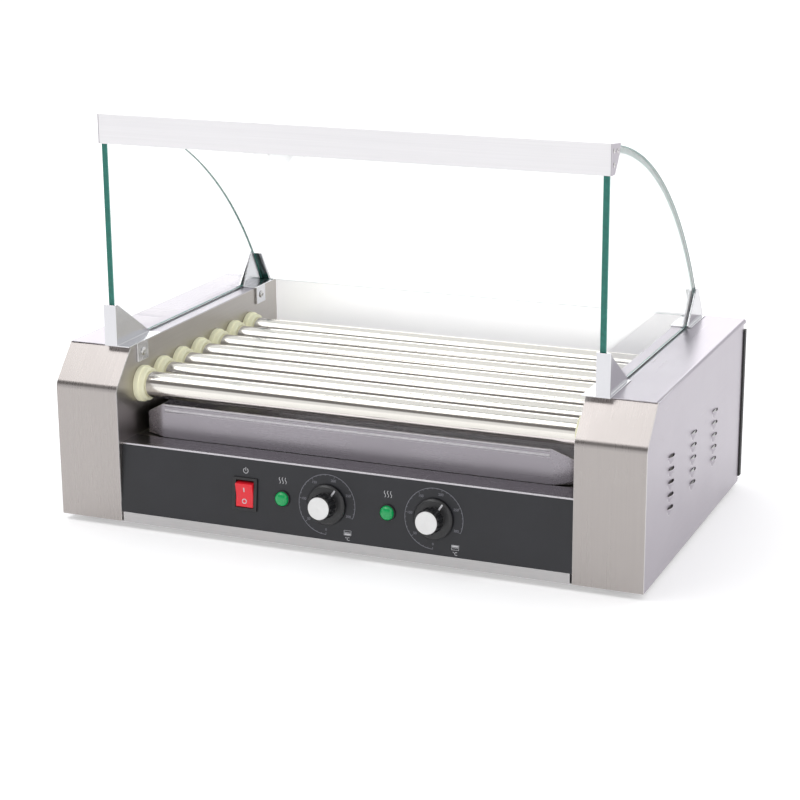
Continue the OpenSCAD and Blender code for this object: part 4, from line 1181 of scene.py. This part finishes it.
def chain_path(wheels, steps=20):
    """Points anticlockwise round wheels of (middle, radius), joined by their outer tangents."""
    def heading(a, b):
        run = b[0] - a[0]
        return math.atan2(run.y, run.x) - math.acos((a[1] - b[1]) / run.length)

    points = []
    for i, (centre, radius) in enumerate(wheels):
        start = heading(wheels[i - 1], wheels[i])
        end = heading(wheels[i], wheels[(i + 1) % len(wheels)])
        while end < start:
            end += math.tau
        for k in range(steps + 1):
            angle = start + (end - start) * k / steps
            points.append(centre + radius * Vector((math.cos(angle), math.sin(angle))))
    return points


def chain_tree():
    tree, given, out = new_group(
        "chain_on_path", "GeometryNodeTree",
        [("Path", "NodeSocketGeometry", None), ("Links", "NodeSocketInt", 40),
         ("Link", "NodeSocketObject", None), ("Outer Link", "NodeSocketObject", None),
         ("Finish", "NodeSocketMaterial", None)],
        [("Geometry", "NodeSocketGeometry")])
    curve = add(tree, "GeometryNodeMeshToCurve", {"Mesh": given["Path"]})
    even = add(tree, "GeometryNodeResampleCurve", {"Curve": curve.outputs[0], "Count": given["Links"]})
    along = add(tree, "GeometryNodeInputTangent").outputs[0]
    facing = add(tree, "FunctionNodeAlignEulerToVector", {"Vector": along}, axis="Y", pivot_axis="X")
    index = add(tree, "GeometryNodeInputIndex").outputs[0]
    odd = maths(tree, "MODULO", index, 2.0)
    join = add(tree, "GeometryNodeJoinGeometry")
    for label, choose in (("Link", odd), ("Outer Link", maths(tree, "SUBTRACT", 1.0, odd))):
        part = add(tree, "GeometryNodeObjectInfo", {"Object": given[label]})
        placed = add(tree, "GeometryNodeInstanceOnPoints", {
            "Points": even.outputs[0], "Selection": choose, "Instance": part.outputs["Geometry"],
            "Rotation": facing.outputs[0]})
        tree.links.new(placed.outputs[0], join.inputs[0])
    return in_finish(tree, join.outputs[0], given["Finish"], out)


def link(name, inner_face, pitch, height, thick, rivets):
    """Two waisted plates; with rivets, their heads stand on the outside."""
    made = []
    for side in (-1, 1):
        bm = bmesh.new()
        outline = []
        for k in range(32):
            t = k / 32 * math.tau
            waist = 1 - 0.28 * math.exp(-(math.cos(t) * 2.2) ** 2)
            outline.append((math.cos(t) * (pitch + height) / 2, math.sin(t) * height / 2 * waist))
        verts = [bm.verts.new((side * inner_face, y, z)) for y, z in outline]
        face = bm.faces.new(verts)
        grown = bmesh.ops.extrude_face_region(bm, geom=[face])
        moved = [v for v in grown["geom"] if isinstance(v, bmesh.types.BMVert)]
        bmesh.ops.translate(bm, verts=moved, vec=(side * thick, 0, 0))
        bmesh.ops.recalc_face_normals(bm, faces=bm.faces)
        made.append(bm_object("plate", bm, smooth=False))
        for end in (-1, 1) if rivets else ():
            dome = [(0, 0), (0, height * 0.2), (0.35 * mm, height * 0.15), (0.4 * mm, 0)]
            head = bm_object("rivet", turned(dome, 10))
            head.data.transform(Matrix.Translation((side * (inner_face + thick), end * pitch / 2, 0))
                                @ Matrix.Rotation(side * math.pi / 2, 4, "Y"))
            made.append(head)
    return joined(name, made)


wheels = [wheel(n) for n in ("sprocket_1", "motor_sprocket", "idler_sprocket", "sprocket_7")]
chain_low, chain_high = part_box("drive_chain")
chain_x = (chain_low.x + chain_high.x) / 2
path = chain_path(wheels)
length = sum((b - a).length for a, b in zip(path, path[1:] + path[:1]))
pitch = 6.35 * mm
links = 2 * round(length / pitch / 2)
path_mesh = bpy.data.meshes.new("chain")
round_path = [(i, (i + 1) % len(path)) for i in range(len(path))]
path_mesh.from_pydata([(chain_x, p.x, p.y) for p in path], round_path, [])
plate = 0.45 * mm
half_gap = (chain_high.x - chain_low.x) / 2 - 2 * plate
link_gap = 0.02 * mm
link_height = 5.0 * mm
inner_link = link("inner_link", half_gap - link_gap, pitch, link_height, plate, False)
outer_link = link("outer_link", half_gap + plate - link_gap, pitch, link_height, plate, True)
chain = baked(by_tree("chain", chain_tree(), {
    "Links": links, "Link": inner_link, "Outer Link": outer_link, "Finish": sprocket_steel}, path_mesh))
for template in (inner_link, outer_link):
    bpy.data.objects.remove(template)
finish_piece(chain, "cabinet", "sprocket_steel", "drive_chain")
print("chain:", links, "links,", round(length / mm), "mm round")

# %% [markdown]
# ## The rest of the frame
# Everything inside the housings is finished the same way as the sheets, with a slightly
# smaller round on its edges.

# %% Inner parts
inner_parts = [n for n, node in sorted(frame["nodes"].items()) if not node.hide_render]
for node in inner_parts:
    refined(node, FINISHES[SLOT_OF[node]], 0.2 * mm)
print("inner parts:", ", ".join(inner_parts))
